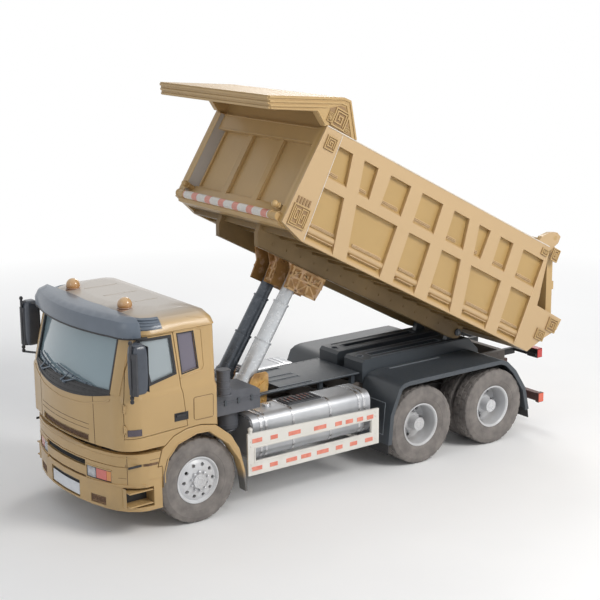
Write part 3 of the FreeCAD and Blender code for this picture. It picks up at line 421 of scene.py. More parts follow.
# Deck: a folded steel cover between the rails, sprayed slate, with a bent edge, a row
# of rivets on each side and a lighter wear line where boots and straps rub.
slate_paint = coat("slate_paint", (66, 72, 78), rough=0.42, gloss=0.15, dust=0.1)
dress("deck_cover", slate_paint, 0.004)
wear = coat("worn_edge", (118, 124, 130), rough=0.3, gloss=0.1, dust=0.0)
rivets, edges = Stock("deck_rivets"), Stock("deck_edges")
DECK_Z = 1.21
slot_edge = [(0.0, 1.776), (0.057, 1.776), (0.057, 2.327), (0.101, 2.327), (0.101, 1.802),
             (0.359, 1.802), (0.359, 2.327), (0.417, 2.327), (0.417, 0.983), (0.081, 0.983),
             (0.081, 1.704), (0.0, 1.704)]
for s in (1, -1):
    top = half(level(DECK_Z), s)
    edges.lay(top, [(0.468, 0.65), (0.468, 3.07)], 0.01, 0.003)
    edges.lay(top, slot_edge, 0.01, 0.005)
    for k in range(20):
        rivets.lathe([(-0.002, 0.001), (-0.002, 0.01), (0.003, 0.008), (0.005, 0.001)],
                     at(s * 0.44, 0.72 + 0.122 * k, DECK_Z), UP, 10)
rivets.make("chassis", slate_paint, "slate_paint")
edges.make("chassis", wear, "slate_paint", 0.0015)

# Subframe rails and pivot: welded box rails under the raised body, with long slots,
# a bright bead round each slot and bore, bolts along the flange and caps on the shaft.
dress("subframe_rails", slate_paint, 0.006)
bead, bolts = Stock("subframe_beads"), Stock("subframe_bolts")
PIVOT_Y, PIVOT_Z = 4.87, 1.5
for s in (1, -1):
    top = half(level(1.376), s)
    bead.edge(top, 0.215, 0.355, 3.38, 4.68, 0.012, 0.005)
    for x in (0.455, 0.12):
        bead.lay(top, [(x, 3.3), (x, 4.95)], 0.01, 0.006)
    bead.lathe([(-0.002, 0.044), (0.006, 0.046), (0.006, 0.056), (-0.002, 0.058)],
               top(0.285, 3.23, 0), UP)
    bead.lathe([(0, 0.001), (0, 0.026), (0.012, 0.022), (0.014, 0.001)],
               at(s * 0.519, PIVOT_Y, PIVOT_Z), (s, 0, 0), 24)
    bolts.bolts([at(s * 0.489, 3.25 + 0.18 * k, 1.1) for k in range(11)], (s, 0, 0), 0.013, 0.01)
bead.make("chassis", wear, "slate_paint", 0.001)
bolts.make("chassis", slate_paint, "slate_paint")

# Running gear: forged axle beams, drive heads and leaf packs in bare cast and rolled
# iron, with a brake chamber and its push rod at each driven wheel.
iron = coat("iron", (74, 72, 72), rough=0.6, gloss=0.0, dust=0.8, patch=0.2)
for node in ("engine", "front_axle", "rear_axles", "springs", "knuckle_left", "knuckle_right"):
    dress(node, iron, 0.006)
MID_Y, REAR_Y, HUB_Z = 3.575, 4.927, 0.545
gear = Stock("brake_chambers")
chamber = [(-0.07, 0.001), (-0.07, 0.062), (-0.02, 0.08), (-0.008, 0.08), (-0.008, 0.09),
           (0.008, 0.09), (0.008, 0.08), (0.05, 0.07), (0.09, 0.05), (0.09, 0.001)]
for s in (1, -1):
    for y in (MID_Y, REAR_Y):
        gear.lathe(chamber, at(s * 0.52, y - 0.17, 0.7), (0, 1, 0), 32)
        gear.rod(at(s * 0.52, y - 0.1, 0.7), at(s * 0.52, y, 0.6), 0.014)
gear.make("chassis", iron, "iron", 0.002)

# Engine: a cast block with twin rocker covers, a ribbed sump and a fan behind the
# grille, kept plain because the cab closes over it.
engine, FAN_Z = Stock("engine_covers"), 0.8
for s in (1, -1):
    engine.box((s * 0.06, -0.62, 1.078), (s * 0.24, 0.34, 1.108))
for k in range(8):
    engine.box((-0.3, -0.62 + 0.13 * k, 0.488), (0.3, -0.6 + 0.13 * k, 0.502))
    tip, root = k * pi / 4, k * pi / 4 + 0.35
    blade = [at(r * cos(a), y, FAN_Z + r * sin(a)) for r, a, y in (
        (0.05, tip, -0.775), (0.2, tip, -0.79), (0.2, root, -0.765), (0.05, root, -0.76))]
    engine.plate(blade, (0, 0.004, 0))
engine.lathe([(0, 0.001), (0, 0.07), (0.05, 0.06), (0.05, 0.001)], at(0, -0.79, FAN_Z),
             (0, 1, 0), 24)
engine.make("chassis", iron, "iron", 0.003)

# Wheels: pressed steel discs in silver enamel on the hubs, the front ones bulging out
# with hand holes, the twin rear ones dished; nuts on studs and a valve on each.
def mottled(name, patch, dark, light, rough, grain=None, relief=None, span=(0.3, 0.7), **rest):
    """Two tones in patches; grain (scale, detail, share) and relief (.., depth) are finer."""
    f = Finish(name)
    colour = f.noise(*patch).clip(*span).mixed(tone(*dark), tone(*light))
    if grain:
        rough = f.noise(*grain[:2]) * grain[2] + rough
    if relief:
        rest["Normal"] = f.bump(f.noise(*relief[:2]), *relief[2:])
    return f.fill(Base_Color=colour, Roughness=rough, **rest)


rim_paint = coat("rim_paint", (203, 204, 206), rough=0.36, dust=0.45, gloss=0.25)
bright_metal = mottled("bright_metal", (4, 4), (190, 191, 194), (222, 223, 225), 0.2,
                       (60, 3, 0.15), Metallic=0.9)


def round_hub(x, y, r, turn):
    """Point at radius r and an angle about the axle of the wheel at y."""
    return at(x, y + r * cos(turn), HUB_Z + r * sin(turn))


for s, side in ((1, "left"), (-1, "right")):
    for row, y, seat, nut, cap, ring in (
            ("front", 0, 1.167, 1.188, 1.207, 0.122), ("mid", MID_Y, 0.937, 0.937, 1.171, 0.166),
            ("rear", REAR_Y, 0.937, 0.937, 1.171, 0.166)):
        dress("rim_%s_%s" % (row, side), rim_paint, 0.003)
        nuts = Stock("wheel_nuts_%s_%s" % (row, side))
        for k in range(10):
            c, out = round_hub(s * nut, y, ring, 2 * pi * (k + 0.5) / 10), Vector((s, 0, 0))
            nuts.rod(c - out * 0.006, c + out * 0.016, 0.016, 6)
            nuts.rod(c, c + out * 0.028, 0.009, 10, 0.007)
        for k in range(6):
            a = 2 * pi * k / 6
            nuts.rod(round_hub(s * (cap - 0.002), y, 0.072, a),
                     round_hub(s * (cap + 0.006), y, 0.072, a), 0.007, 6)
        nuts.hoop(-0.002, 0.003, 0.038, 0.045, at(s * cap, y, HUB_Z), (s, 0, 0), 40)
        nuts.rod(at(s * (seat - 0.01), y + 0.235, HUB_Z), at(s * (seat + 0.05), y + 0.25, HUB_Z),
                 0.007, 10)
        nuts.make("wheel_%s_%s" % (row, side), bright_metal, "rim_paint")

# Tyres: moulded black rubber greyed by dust, with a rounded shoulder, four tread ribs
# parted by grooves, cross cuts that step from rib to rib, and rings on the side wall.
rubber = mottled("rubber", (7, 5), (104, 99, 96), (134, 128, 123), 0.68, (7, 5, 0.2),
                 (90, 3, 0.0012))


def tyre(name, centres, body, node):
    outline = [(-0.105, 0.297, 0), (-0.128, 0.32, 0), (-0.145, 0.36, 0), (-0.1455, 0.372, 0),
               (-0.149, 0.376, 0), (-0.15, 0.44, 0), (-0.147, 0.47, 0), (-0.1475, 0.474, 0),
               (-0.144, 0.48, 0), (-0.139, 0.512, 4), (-0.126, 0.536, 4), (-0.112, 0.541, 1),
               (-0.086, 0.543, 1), (-0.082, 0.531, 0), (-0.074, 0.531, 0), (-0.07, 0.544, 2),
               (-0.01, 0.545, 2), (-0.006, 0.532, 0), (0.0, 0.532, 0)]
    outline += [(-x, r, k and k + 5) for x, r, k in outline[-2::-1]]
    rings = Stock(name)
    for cx, cy in centres:
        turns = []
        for i in range(156):
            ring = []
            for x, r, k in outline:
                r = r - 0.011 if k and (i + 2 * k) % 6 == 0 else r
                ring.append(round_hub(cx + x, cy, r, 2 * pi * i / 156))
            turns.append(ring)
        rings.skin(turns, loop=True)
    return rings.make(body, rubber, "tyre", smooth=28, stands_for=(node,))


for s, side in ((1, "left"), (-1, "right")):
    tyre("front_tyre_" + side, [(s * 1.039, 0)], "wheel_front_" + side, "tyre_front_" + side)
    for row, y in (("mid", MID_Y), ("rear", REAR_Y)):
        where = row + "_" + side
        tyre("%s_tyres_%s" % (row, side), [(s * 1.086, y), (s * 0.756, y)], "wheel_" + where,
             "tyres_" + where)

# Fuel tanks: rolled aluminium shells with pressed ends, held on brackets by pairs of
# bright straps with tee bolts; a ribbed filler cap and a step plate sit on top.
tank_metal = mottled("tank_metal", (1.6, 3), (172, 174, 178), (200, 202, 205), 0.25,
                     (26, 4, 0.2), (26, 4, 0.002, 0.3), Metallic=0.55)
dress("fuel_tanks", tank_metal, 0.014)
dark_plastic = mottled("dark_plastic", (9, 3), (52, 53, 57), (66, 67, 71), 0.4, (50, 3, 0.2),
                       (160, 2, 0.0006))
step_treads = mottled("step_treads", (14, 5), (150, 150, 150), (176, 92, 62), 0.3, (30, 3, 0.3),
                      span=(0.45, 0.6), Metallic=0.3)
straps, step, treads = Stock("tank_straps"), Stock("tank_step"), Stock("tank_step_treads")


TANK_TOP = 1.165


def tank_outline(grow):
    """Points (x, z) and the way out at each, round a tank made larger by grow."""
    x0, x1, z0, z1, r = 0.56 - grow, 1.12 + grow, 0.59 - grow, TANK_TOP + grow, 0.13 + grow
    corners = ((x1 - r, z1 - r, 0), (x0 + r, z1 - r, 90), (x0 + r, z0 + r, 180),
               (x1 - r, z0 + r, 270))
    for cx, cz, start in corners:
        for k in range(9):
            a = radians(start + 90 * k / 8)
            yield cx + r * cos(a), cz + r * sin(a), Vector((cos(a), 0, sin(a)))


filler = [(-0.004, 0.001), (-0.004, 0.052), (0.01, 0.058), (0.03, 0.054), (0.036, 0.046),
          (0.036, 0.001)]
for s in (1, -1):
    ring = list(tank_outline(0.0))
    for y in (0.975, 1.055, 1.48, 2.08, 2.56, 2.64):
        straps.bar([at(s * x, y, z) for x, z, n in ring],
                   [Vector((s * n.x, 0, n.z)) for x, z, n in ring], 0.038, 0.007, loop=True)
        for z0, z1, r, sides in ((0.86, 0.98, 0.009, 10), (0.905, 0.92, 0.015, 6)):
            straps.rod(at(s * 1.128, y, z0), at(s * 1.128, y, z1), r, sides)
    straps.lathe(filler, at(s * 0.8, 1.28, TANK_TOP), UP, 24)
    for y, out in ((0.85, -1), (2.75, 1)):
        straps.bar([at(s * x, y, z) for x, z, n in tank_outline(-0.035)], Vector((0, out, 0)),
                   0.016, 0.01, loop=True)
    top, plate = (level(TANK_TOP + rise, s * 0.84, 1.77) for rise in (0, 0.03))
    step.pad(top, -0.13, 0.13, -0.27, 0.27, 0.022, 2)
    for k in range(8):
        step.pad(top, -0.115, 0.115, -0.245 + 0.066 * k, -0.215 + 0.066 * k, 0.03, 2)
    for i in range(3):
        for k in range(7):
            a, b = -0.1 + 0.07 * i, -0.235 + 0.066 * k
            treads.pad(plate, a, a + 0.05, b, b + 0.01, 0.005, 1)
straps.make("chassis", bright_metal, "tank_metal", 0.001)
step.make("chassis", dark_plastic, "dark_plastic", 0.003)
treads.make("chassis", step_treads, "tank_metal")

# Side guards: folded steel frames in white enamel with a knob on the front post, set
# off by stuck-on reflectors in mixed lengths, eight to a bar.
white_paint = coat("white_paint", (222, 219, 212), rough=0.42, gloss=0.15, dust=0.3, patch=0.04)
dress("side_guards", white_paint, 0.006)
reflector = mottled("reflector", (9, 4), (212, 112, 92), (232, 146, 124), 0.3, (40, 3, 0.1),
                    Coat_Weight=0.5)
marks, knobs, GUARD_FALL = Stock("guard_reflectors"), Stock("guard_knobs"), 0.068 / 2.112
upper = ((0.84, 0.15), (1.1, 0.11), (1.42, 0.19), (1.83, 0.2), (2.13, 0.11), (2.31, 0.12),
         (2.49, 0.1), (2.66, 0.11))
lower = ((0.83, 0.16), (1.09, 0.12), (1.37, 0.17), (1.6, 0.16), (1.87, 0.19), (2.14, 0.11),
         (2.38, 0.12), (2.64, 0.13))
knob = [(0.036, 0.001), (0.034, 0.016), (0.022, 0.03), (0.004, 0.034), (-0.004, 0.03),
        (-0.004, 0.001)]
for s in (1, -1):
    side = flank(s, 1.226)
    for y, w in upper:
        z = 0.9675 - GUARD_FALL * (y - 0.7)
        marks.pad(side, y - w / 2, y + w / 2, z - 0.087, z - 0.032, 0.004, 1)
    for y, w in lower:
        marks.pad(side, y - w / 2, y + w / 2, 0.508, 0.562, 0.004, 1)
    knobs.lathe(knob, at(s * 1.211, 0.745, 1.05), UP, 24)
    knobs.lay(side, [(0.8, 0.617), (2.69, 0.607), (2.69, 0.811), (0.8, 0.817)], 0.01, 0.006,
              loop=True)
    for y in (0.745, 2.755):
        knobs.bolts([at(s * 1.225, y, z) for z in (0.53, 0.6, 0.84, 0.9)], (s, 0, 0),
                    0.012, 0.008)
marks.make("chassis", reflector, "red_lens", 0.001)
knobs.make("chassis", white_paint, "white_paint", 0.001)

# Air cleaner: moulded grey box with a clipped lid, a ringed intake stack with a rain
# cap, and a steel canister below held by two bands.
grey_plastic = mottled("grey_plastic", (3, 4), (74, 76, 82), (96, 98, 104), 0.32, (60, 2, 0.2),
                       (140, 2, 0.0008))
dress("air_cleaner", grey_plastic, 0.016)
rings, STACK_X, STACK_Y, STACK_R = Stock("air_cleaner_rings"), 1.0, 0.5, 0.08
for z, grow in ((1.515, 0.016), (1.585, 0.01), (1.61, 0.01), (1.685, 0.01), (1.745, 0.003),
                (1.824, 0.01)):
    rings.hoop(-0.01, 0.01, STACK_R, STACK_R + 0.004 + grow, at(STACK_X, STACK_Y, z), UP, 40)
for k in range(24):
    a = pi * k / 12
    x, y = STACK_X + STACK_R * cos(a), STACK_Y + STACK_R * sin(a)
    rings.box((x - 0.005, y - 0.005, 1.772), (x + 0.005, y + 0.005, 1.808))
for z in (1.045, 1.19):
    rings.hoop(-0.014, 0.014, 0.148, 0.156, at(0.76, 0.69, z), UP)
rings.lathe([(0.0, 0.001), (0.0, 0.11), (-0.03, 0.13), (-0.045, 0.12), (-0.045, 0.001)],
            at(0.76, 0.69, 1.0), UP, 40)
rings.lay(flank(1, 1.0), [(0.39, 1.395), (1.05, 1.395)], 0.018, 0.01)
rings.lay(flank(-1, -0.56), [(0.39, 1.395), (1.05, 1.395)], 0.018, 0.01)
rings.lay(stern(1.05), [(0.56, 1.395), (1.0, 1.395)], 0.018, 0.01)
rings.make("chassis", grey_plastic, "grey_plastic", 0.002)
clips = Stock("air_cleaner_clips")
for y in (0.52, 0.72, 0.92):
    clips.box((0.998, y - 0.018, 1.36), (1.016, y + 0.018, 1.43))
for x in (0.7, 0.88):
    clips.box((x, 1.048, 1.36), (x + 0.04, 1.064, 1.43))
clips.make("chassis", slate_paint, "grey_plastic", 0.003)

# Rear mudguards: folded sheet in slate paint with a rolled outer lip, a pressed bead
# along the top, a panel pressed in the front wall and rubber flaps below the ends.
dress("rear_fenders", slate_paint, 0.007)
beads, flaps = Stock("fender_beads"), Stock("mud_flaps")
flap_rubber = mottled("flap_rubber", (5, 4), (48, 48, 50), (66, 65, 65), 0.8,
                      relief=(60, 3, 0.002))
for s in (1, -1):
    beads.lay(half(level(1.22), s), [(0.6, 3.51), (0.6, 4.43)], 0.03, 0.008)
    front = half(face(at(0, 2.96, 0.386), (1, 0, 0), (0, 0.0952, 0.9955)), s)
    beads.edge(front, 0.66, 1.12, 0.12, 0.56, 0.014, 0.006)
    for y0, y1 in ((2.975, 2.962), (5.59, 5.612)):
        sheet = ((0.56, y0, 0.4), (1.235, y0, 0.4), (1.235, y1, 0.25), (0.56, y1, 0.25))
        flaps.plate([at(s * x, y, z) for x, y, z in sheet], (0, 0.01, 0))
beads.make("chassis", wear, "slate_paint", 0.003)
flaps.make("chassis", flap_rubber, "dark_plastic", 0.002)

# Bumper: a steel shell in cab tan with a rolled lip, a black air slot, a brown slot
# below it, a plate recess, raised ledges along the sides and lined step openings.
TAN = (186, 154, 103)
cab_tan = coat("cab_tan", TAN)
dress("bumper", cab_tan, 0.007)
black_trim = mottled("black_trim", (12, 3), (34, 34, 36), (46, 46, 48), 0.4, (60, 3, 0.2),
                     (200, 2, 0.0005))
brown_mesh = mottled("brown_mesh", (20, 4), (96, 72, 54), (124, 96, 74), 0.5, (60, 3, 0.2))
seam_shadow = mottled("seam_shadow", (9, 3), (104, 82, 56), (84, 66, 46), 0.7, span=(0, 1))
# Points (x, y) of the bumper's outer face, from its middle round to its end.
BUMPER = [(0, -1.24), (0.32, -1.224), (0.62, -1.178), (0.86, -1.112), (1.01, -1.05),
          (1.12, -0.965), (1.2, -0.86), (1.245, -0.74), (1.246, -0.56)]


def on_bumper(x, z, lift):
    s, ax = (1 if x >= 0 else -1), abs(x)
    k = next(i for i in range(8) if ax <= BUMPER[i + 1][0] or i == 7)
    (x0, y0), (x1, y1) = BUMPER[k:k + 2]
    run = Vector((x1 - x0, y1 - y0)).normalized()
    y = y0 + (y1 - y0) * (ax - x0) / (x1 - x0)
    return at(s * (ax + run.y * lift), y - run.x * lift, z)


def sunk(surface, depth):
    return lambda a, b, lift: surface(a, b, lift - depth)


slots, lips, lines, browns, treads = (Stock(name) for name in (
    "bumper_slots", "bumper_lips", "bumper_lines", "bumper_mesh", "step_plates"))
slots.pad(sunk(on_bumper, 0.041), -0.497, 0.497, 0.809, 0.888, 0.004, 14)
for z in (0.828, 0.848, 0.868):
    slots.lay(sunk(on_bumper, 0.03), [(-0.495, z), (0.495, z)], 0.006, 0.014)
slots.pad(sunk(on_bumper, 0.031), -0.366, 0.366, 0.375, 0.588, 0.003, 10)
browns.pad(sunk(on_bumper, 0.026), -0.477, 0.477, 0.664, 0.69, 0.004, 14)
for k in range(48):
    x = -0.465 + k * 0.0198
    browns.lay(sunk(on_bumper, 0.022), [(x, 0.666), (x + 0.01, 0.688)], 0.004, 0.006)
for s in (1, -1):
    near, side = half(on_bumper, s), flank(s, 1.245)
    ledge = [(0.49, 0.656), (0.62, 0.66), (0.94, 0.672), (1.12, 0.676), (1.23, 0.68)]
    lines.lay(near, [(1.12, 0.672), (1.12, 1.05)], 0.007, 0.0006)
    lips.lay(near, ledge, 0.03, 0.014)
    lips.lay(near, [(0.51, 0.846), (0.945, 0.846)], 0.016, 0.008)
    lines.lay(near, [(0.945, 0.77), (1.11, 0.77)], 0.005, 0.0006)
    slots.pad(flank(s, 1.209), -1.0, -0.693, 0.917, 0.946, 0.006, 2)
    for z in (0.921, 0.932, 0.943):
        browns.lay(near, [(1.105, z), (1.243, z)], 0.007, 0.003)
        browns.lay(side, [(-0.745, z), (-0.61, z)], 0.007, 0.003)
    slots.box((s * 1.057, -1.0, 0.404), (s * 1.064, -0.68, 0.646))
    lips.box((s * 1.06, -1.008, 0.404), (s * 1.15, -1.002, 0.646))
    lines.lay(side, [(-0.72, 0.985), (-0.56, 0.985)], 0.005, 0.0008)
    for z in (0.444, 0.614):
        top = level(z, s * 1.14, -0.84)
        treads.pad(top, -0.082, 0.082, -0.155, 0.155, 0.003, 1)
        for i in range(4):
            for k in range(8):
                a, b, t = -0.06 + 0.04 * i, -0.135 + 0.038 * k, (i + k) % 2 * 2 - 1
                treads.lay(sunk(top, -0.003), [(a - 0.01, b - 0.008 * t),
                                               (a + 0.01, b + 0.008 * t)], 0.005, 0.003)
lips.lay(on_bumper, [(-1.2, 1.026), (1.2, 1.026)], 0.012, 0.005)
slots.make("chassis", black_trim, "dark_plastic", 0.001)
browns.make("chassis", brown_mesh, "brown_mesh")
lips.make("chassis", cab_tan, "tan_paint", 0.003)
lines.make("chassis", seam_shadow, "tan_paint")
treads.make("chassis", cab_tan, "tan_paint")

# Number plate: a blank pressed sheet in white enamel with a raised rim, let into the
# bumper on two screws.
plate_enamel = mottled("plate_enamel", (6, 3), (206, 210, 216), (222, 225, 229), 0.3,
                       (40, 3, 0.1), Coat_Weight=0.3)
plate = Stock("blank_plate")
plate.pad(sunk(on_bumper, 0.014), -0.35, 0.35, 0.392, 0.54, 0.003, 10)
plate.edge(sunk(on_bumper, 0.012), -0.345, 0.345, 0.397, 0.535, 0.008, 0.003)
for x in (-0.25, 0.25):
    plate.lathe([(-0.02, 0.001), (-0.02, 0.009), (0.003, 0.007), (0.004, 0.001)],
                on_bumper(x, 0.515, -0.01), (0, -1, 0), 14)
plate.make("chassis", plate_enamel, "white_paint", 0.001)


# Bumper grilles: brown cast panels with a square-spiral relief, let in at the corners
# of the bumper.
def spirals(stock, surface, a0, a1, b0, b1, count, wide, thick):
    """A row of square spirals, every other one turned, inside a frame."""
    stock.edge(surface, a0, a1, b0, b1, wide, thick)
    gap = wide * 1.9
    across, tall = (a1 - a0 - gap * (count + 1)) / count, b1 - b0 - 2 * gap
    turns = [(0, 0), (0, 1), (1, 1), (1, 0.12), (0.3, 0.12), (0.3, 0.7), (0.7, 0.7),
             (0.7, 0.42), (0.52, 0.42)]
    for k in range(count):
        left = a0 + gap + k * (across + gap)
        path = [(u, v) if k % 2 == 0 else (1 - u, 1 - v) for u, v in turns]
        stock.lay(surface, [(left + u * across, b0 + gap + v * tall) for u, v in path], wide, thick)


dress("bumper_grille", coat("grille_ground", (150, 120, 84), rough=0.5, gloss=0.0, dust=0.2), 0)
relief = Stock("bumper_grille_relief")
for s in (1, -1):
    inner, outer = sorted((s * 0.6, s * 0.835))
    spirals(relief, sunk(on_bumper, 0.012), inner, outer, 0.392, 0.483, 3, 0.009, 0.008)
relief.make("chassis", brown_mesh, "brown_mesh", 0.001)

# Headlamps: a silvered bowl and bulb behind a clear fluted cover near the middle, a
# pink-red signal lens beside it with an amber end, in a black housing.
lamp_silver = mottled("lamp_silver", (4, 3), (200, 202, 206), (228, 230, 233), 0.12,
                      (30, 3, 0.1), Metallic=0.95)
BANDS = {"wave_type": "BANDS", "bands_direction": "X"}


def lens(name, colour, alpha):
    f = Finish(name)
    flute = f.flow.node("TexWave", BANDS, {"Vector": f.place, "Scale": 90.0})
    colour = tone(*colour)
    return f.fill(
        Base_Color=f.noise(3).clip(0.3, 0.7).mixed(shade(colour, 0.9), shade(colour, 1.08)),
        Roughness=0.15, Alpha=alpha, Coat_Weight=0.6, Coat_Roughness=0.05,
        Normal=f.bump(flute, 0.0008, 0.4))


def bearing(surface, a, b, lift=0.0):
    """A point of a surface and the way out of it there."""
    return surface(a, b, lift), surface(a, b, 1.0) - surface(a, b, 0.0)


clear_lens = lens("clear_lens", (222, 222, 226), 0.45)
pink_lens = lens("pink_lens", (222, 118, 108), 0.96)
amber_lens = lens("amber_lens", (224, 148, 86), 0.96)
house, bowls, clears, pinks, ambers = (
    Stock("headlamp_" + name) for name in ("housing", "bowls", "covers", "signals", "ends"))
bowl = [(0.004, 0.01), (0.01, 0.022), (0.026, 0.034), (0.028, 0.034), (0.028, 0.037),
        (0.002, 0.037), (0.0, 0.01)]
bulb = [(0.0, 0.001), (0.0, 0.012), (0.016, 0.01), (0.022, 0.001)]
for s in (1, -1):
    near = half(on_bumper, s)
    house.pad(sunk(near, 0.044), 0.523, 0.932, 0.693, 0.832, 0.003, 8)
    house.edge(sunk(near, 0.03), 0.524, 0.931, 0.694, 0.831, 0.01, 0.024)
    house.lay(sunk(near, 0.038), [(0.684, 0.694), (0.684, 0.831)], 0.008, 0.028)
    for x in (0.565, 0.638):
        foot, aim = bearing(near, x, 0.762, -0.04)
        bowls.lathe(bowl, foot, aim, 28)
        bowls.lathe(bulb, foot, aim, 20)
    clears.pad(sunk(near, 0.01), 0.53, 0.68, 0.7, 0.826, 0.004, 4, 3)
    pinks.pad(sunk(near, 0.022), 0.689, 0.858, 0.7, 0.826, 0.014, 4, 3)
    ambers.pad(sunk(near, 0.022), 0.861, 0.926, 0.7, 0.826, 0.013, 3, 3)
house.make("chassis", black_trim, "dark_plastic", stands_for=("headlamps",))
bowls.make("chassis", lamp_silver, "clear_lens")
clears.make("chassis", clear_lens, "clear_lens", 0.002)
pinks.make("chassis", pink_lens, "red_lens", 0.003)
ambers.make("chassis", amber_lens, "amber_lens", 0.003)

# Wheel arch flares: moulded lips in cab tan with a rolled edge, ending behind the
# wheel in a grey rubber tail.
def tail_grey(f, base):
    low_end = (f.y - AXLE_Y).clip(0.46, 0.52) * (1 - f.z.clip(0.44, 0.6))
    return low_end.mixed(base, tone(96, 96, 96))


dress("front_arches", coat("arch_tan", TAN, over=tail_grey), 0.01)
rolls, HALF_WIDTH = Stock("arch_rolls"), 1.25
path = [(-0.52, 0.66), (-0.523, 0.77), (-0.47, 0.955), (-0.332, 1.108), (-0.056, 1.192),
        (0.126, 1.184), (0.4, 0.964), (0.556, 0.724), (0.612, 0.542)]
for s in (1, -1):
    rolls.lay(flank(s, HALF_WIDTH), path, 0.014, 0.006)
rolls.make("chassis", cab_tan, "tan_paint", 0.003)

# Underrun beam and tail lamps: a box beam with lamp ends, and lamp blocks on arms above
# it; lenses are red with amber and clear parts, in black rims, and the plate is blank.
beam_paint = coat("beam_paint", (92, 60, 56), rough=0.5, gloss=0.0, dust=0.3)
dress("underrun_beam", beam_paint, 0.008)
dress("tail_lamps", black_trim, 0.008)
red_lens = lens("red_lens", (196, 50, 46), 1.0)
coral_lens = lens("coral_lens", (226, 104, 78), 1.0)
reds, corals, whites = (
    Stock(name) for name in ("tail_lenses", "beam_lenses", "tail_clear_lenses"))
for s in (1, -1):
    rear = half(stern(6.21), s)
    for lenses, x0, x1 in ((reds, 0.7, 0.79), (corals, 0.795, 0.845), (whites, 0.85, 0.892)):
        lenses.pad(rear, x0, x1, 0.995, 1.11, 0.008, 2)
    reds.box((s * 0.898, 6.112, 0.99), (s * 0.906, 6.207, 1.115))
    reds.box((s * 0.694, 6.108, 1.1185), (s * 0.896, 6.212, 1.126))
    corals.box((s * 1.0585, 6.000, 0.362), (s * 1.067, 6.095, 0.493))
    corals.pad(half(stern(6.1), s), 1.002, 1.058, 0.36, 0.495, 0.006, 2)
for k in range(8):
    x = 0.72 - 0.18 * k
    (corals if k % 2 else whites).pad(stern(6.09), x, x - 0.16, 0.405, 0.455, 0.003, 1)
reds.make("chassis", red_lens, "red_lens", 0.003)
corals.make("chassis", coral_lens, "red_lens", 0.002)
whites.make("chassis", clear_lens, "clear_lens", 0.002)

# Hoist: two like telescopic cylinders in one enamel, the left one painted white and the
# other blue-grey as painted light and shade, with turned rings on the barrel and at the
# mouth of each stage, and a dished foot.
BARREL = radians(57.03)
TRUNNION_Y, TRUNNION_Z = 1.05, 0.95


def along(x, t):
    """Point t up the middle line of a cylinder from its trunnion."""
    return at(x, TRUNNION_Y + t * cos(BARREL), TRUNNION_Z + t * sin(BARREL))


axis = along(0, 1.0) - along(0, 0.0)
for node, top, r in (("hoist_barrels", 0.53, 0.125), ("hoist_stage_1", 1.086, 0.121),
                     ("hoist_stage_2", 1.642, 0.11), ("hoist_stage_3", 0, 0)):
    f = Finish(node + "_enamel")
    streak = f.noise(14, 4)
    patches = streak.clip(0.3, 0.7)
    # Painted light and shade: white on the left cylinder, dark blue-grey on the right one.
    colour = f.x.clip(-0.01, 0.01).mixed(patches.mixed(tone(76, 83, 92), tone(94, 101, 110)),
                                         patches.mixed(tone(196, 200, 204), tone(214, 217, 220)))
    enamel = f.fill(Base_Color=colour, Roughness=streak * 0.2 + 0.16, Metallic=0.3)
    dress(node, enamel, 0.003)
    if not r:
        continue
    rings = Stock(node + "_rings")
    for x in (-0.232, 0.232):
        if node == "hoist_barrels":
            for t, grow in ((-0.41, 0.005), (0.15, 0.004), (0.25, 0.009), (0.268, 0.006),
                            (0.462, 0.013)):
                rings.hoop(t - 0.008, t + 0.008, r - 0.002, r + grow, along(x, 0), axis, 64)
            rings.lathe([(-0.47, 0.001), (-0.47, 0.1), (-0.486, 0.085), (-0.49, 0.001)],
                        along(x, 0), axis, 48)
        else:
            rings.hoop(top - 0.014, top - 0.009, r - 0.004, r + 0.003, along(x, 0), axis, 64)
    rings.make(node, enamel, "cylinder_steel", 0.001)

# Cradle of the hoist: welded ochre plates on the rails, blotched dark brown and flecked
# lighter at random, with gussets, cast pads, bolt heads and a hose union on the left.
# Ochre blotched with dark brown and flecked lighter, in random noise patches.
def blotched(name, colour):
    f = Finish(name)
    blot, spots = f.noise(4.5, 4, 0.5), f.noise(9, 3)
    base = blot.clip(0.3, 0.55).mixed(tone(150, 108, 62), tone(*colour))
    base = (spots.clip(0.54, 0.64) * 0.7).mixed(base, tone(214, 178, 146))
    base = (1 - spots.clip(0.28, 0.38)).mixed(base, tone(104, 70, 42))
    return f.fill(Base_Color=base, Roughness=blot * 0.4 + 0.3,
                  Normal=f.bump(f.noise(50, 3), 0.0012, 0.4))


ochre_paint = blotched("ochre_paint", (204, 162, 94))
dress("hoist_cradle", ochre_paint, 0.006)
dress("hoist_head", blotched("head_paint", (176, 132, 74)), 0.006)
# Painted highlight: a lighter ochre for the ribs, braces and bolts on the cylinder heads.
rib_highlight_paint = blotched("head_rib_highlight", (218, 180, 128))
gussets, union = Stock("cradle_gussets"), Stock("hose_union")
outline = [(1.08, 1.115), (1.24, 1.255), (1.33, 1.415), (1.39, 1.468), (1.55, 1.468)]
for s in (1, -1):
    side = flank(s, 0.4)
    for y0, y1, z0, z1 in ((1.12, 1.24, 1.15, 1.26), (1.3, 1.52, 1.22, 1.36)):
        gussets.plate([side(y, z, 0) for y, z in ((y0, z0), (y1, z0 + 0.02), (y1, z1))],
                      (s * 0.022, 0, 0))
    gussets.bolts([side(y, z, -0.001) for y, z in (
        (1.1, 1.08), (1.3, 1.1), (1.5, 1.1), (1.36, 1.3), (1.46, 1.33), (1.52, 1.34))],
        (s, 0, 0), 0.014, 0.012)
    gussets.lay(side, outline, 0.02, 0.005)
gussets.make("chassis", ochre_paint, "ochre_paint", 0.003)
for a, b, r in (((0.43, 1.2, 1.25), (0.5, 1.24, 1.29), 0.03),
                ((0.47, 1.22, 1.275), (0.53, 1.255, 1.31), 0.024),
                ((0.39, 1.18, 1.24), (0.44, 1.2, 1.255), 0.042)):
    union.rod(at(*a), at(*b), r, 20)
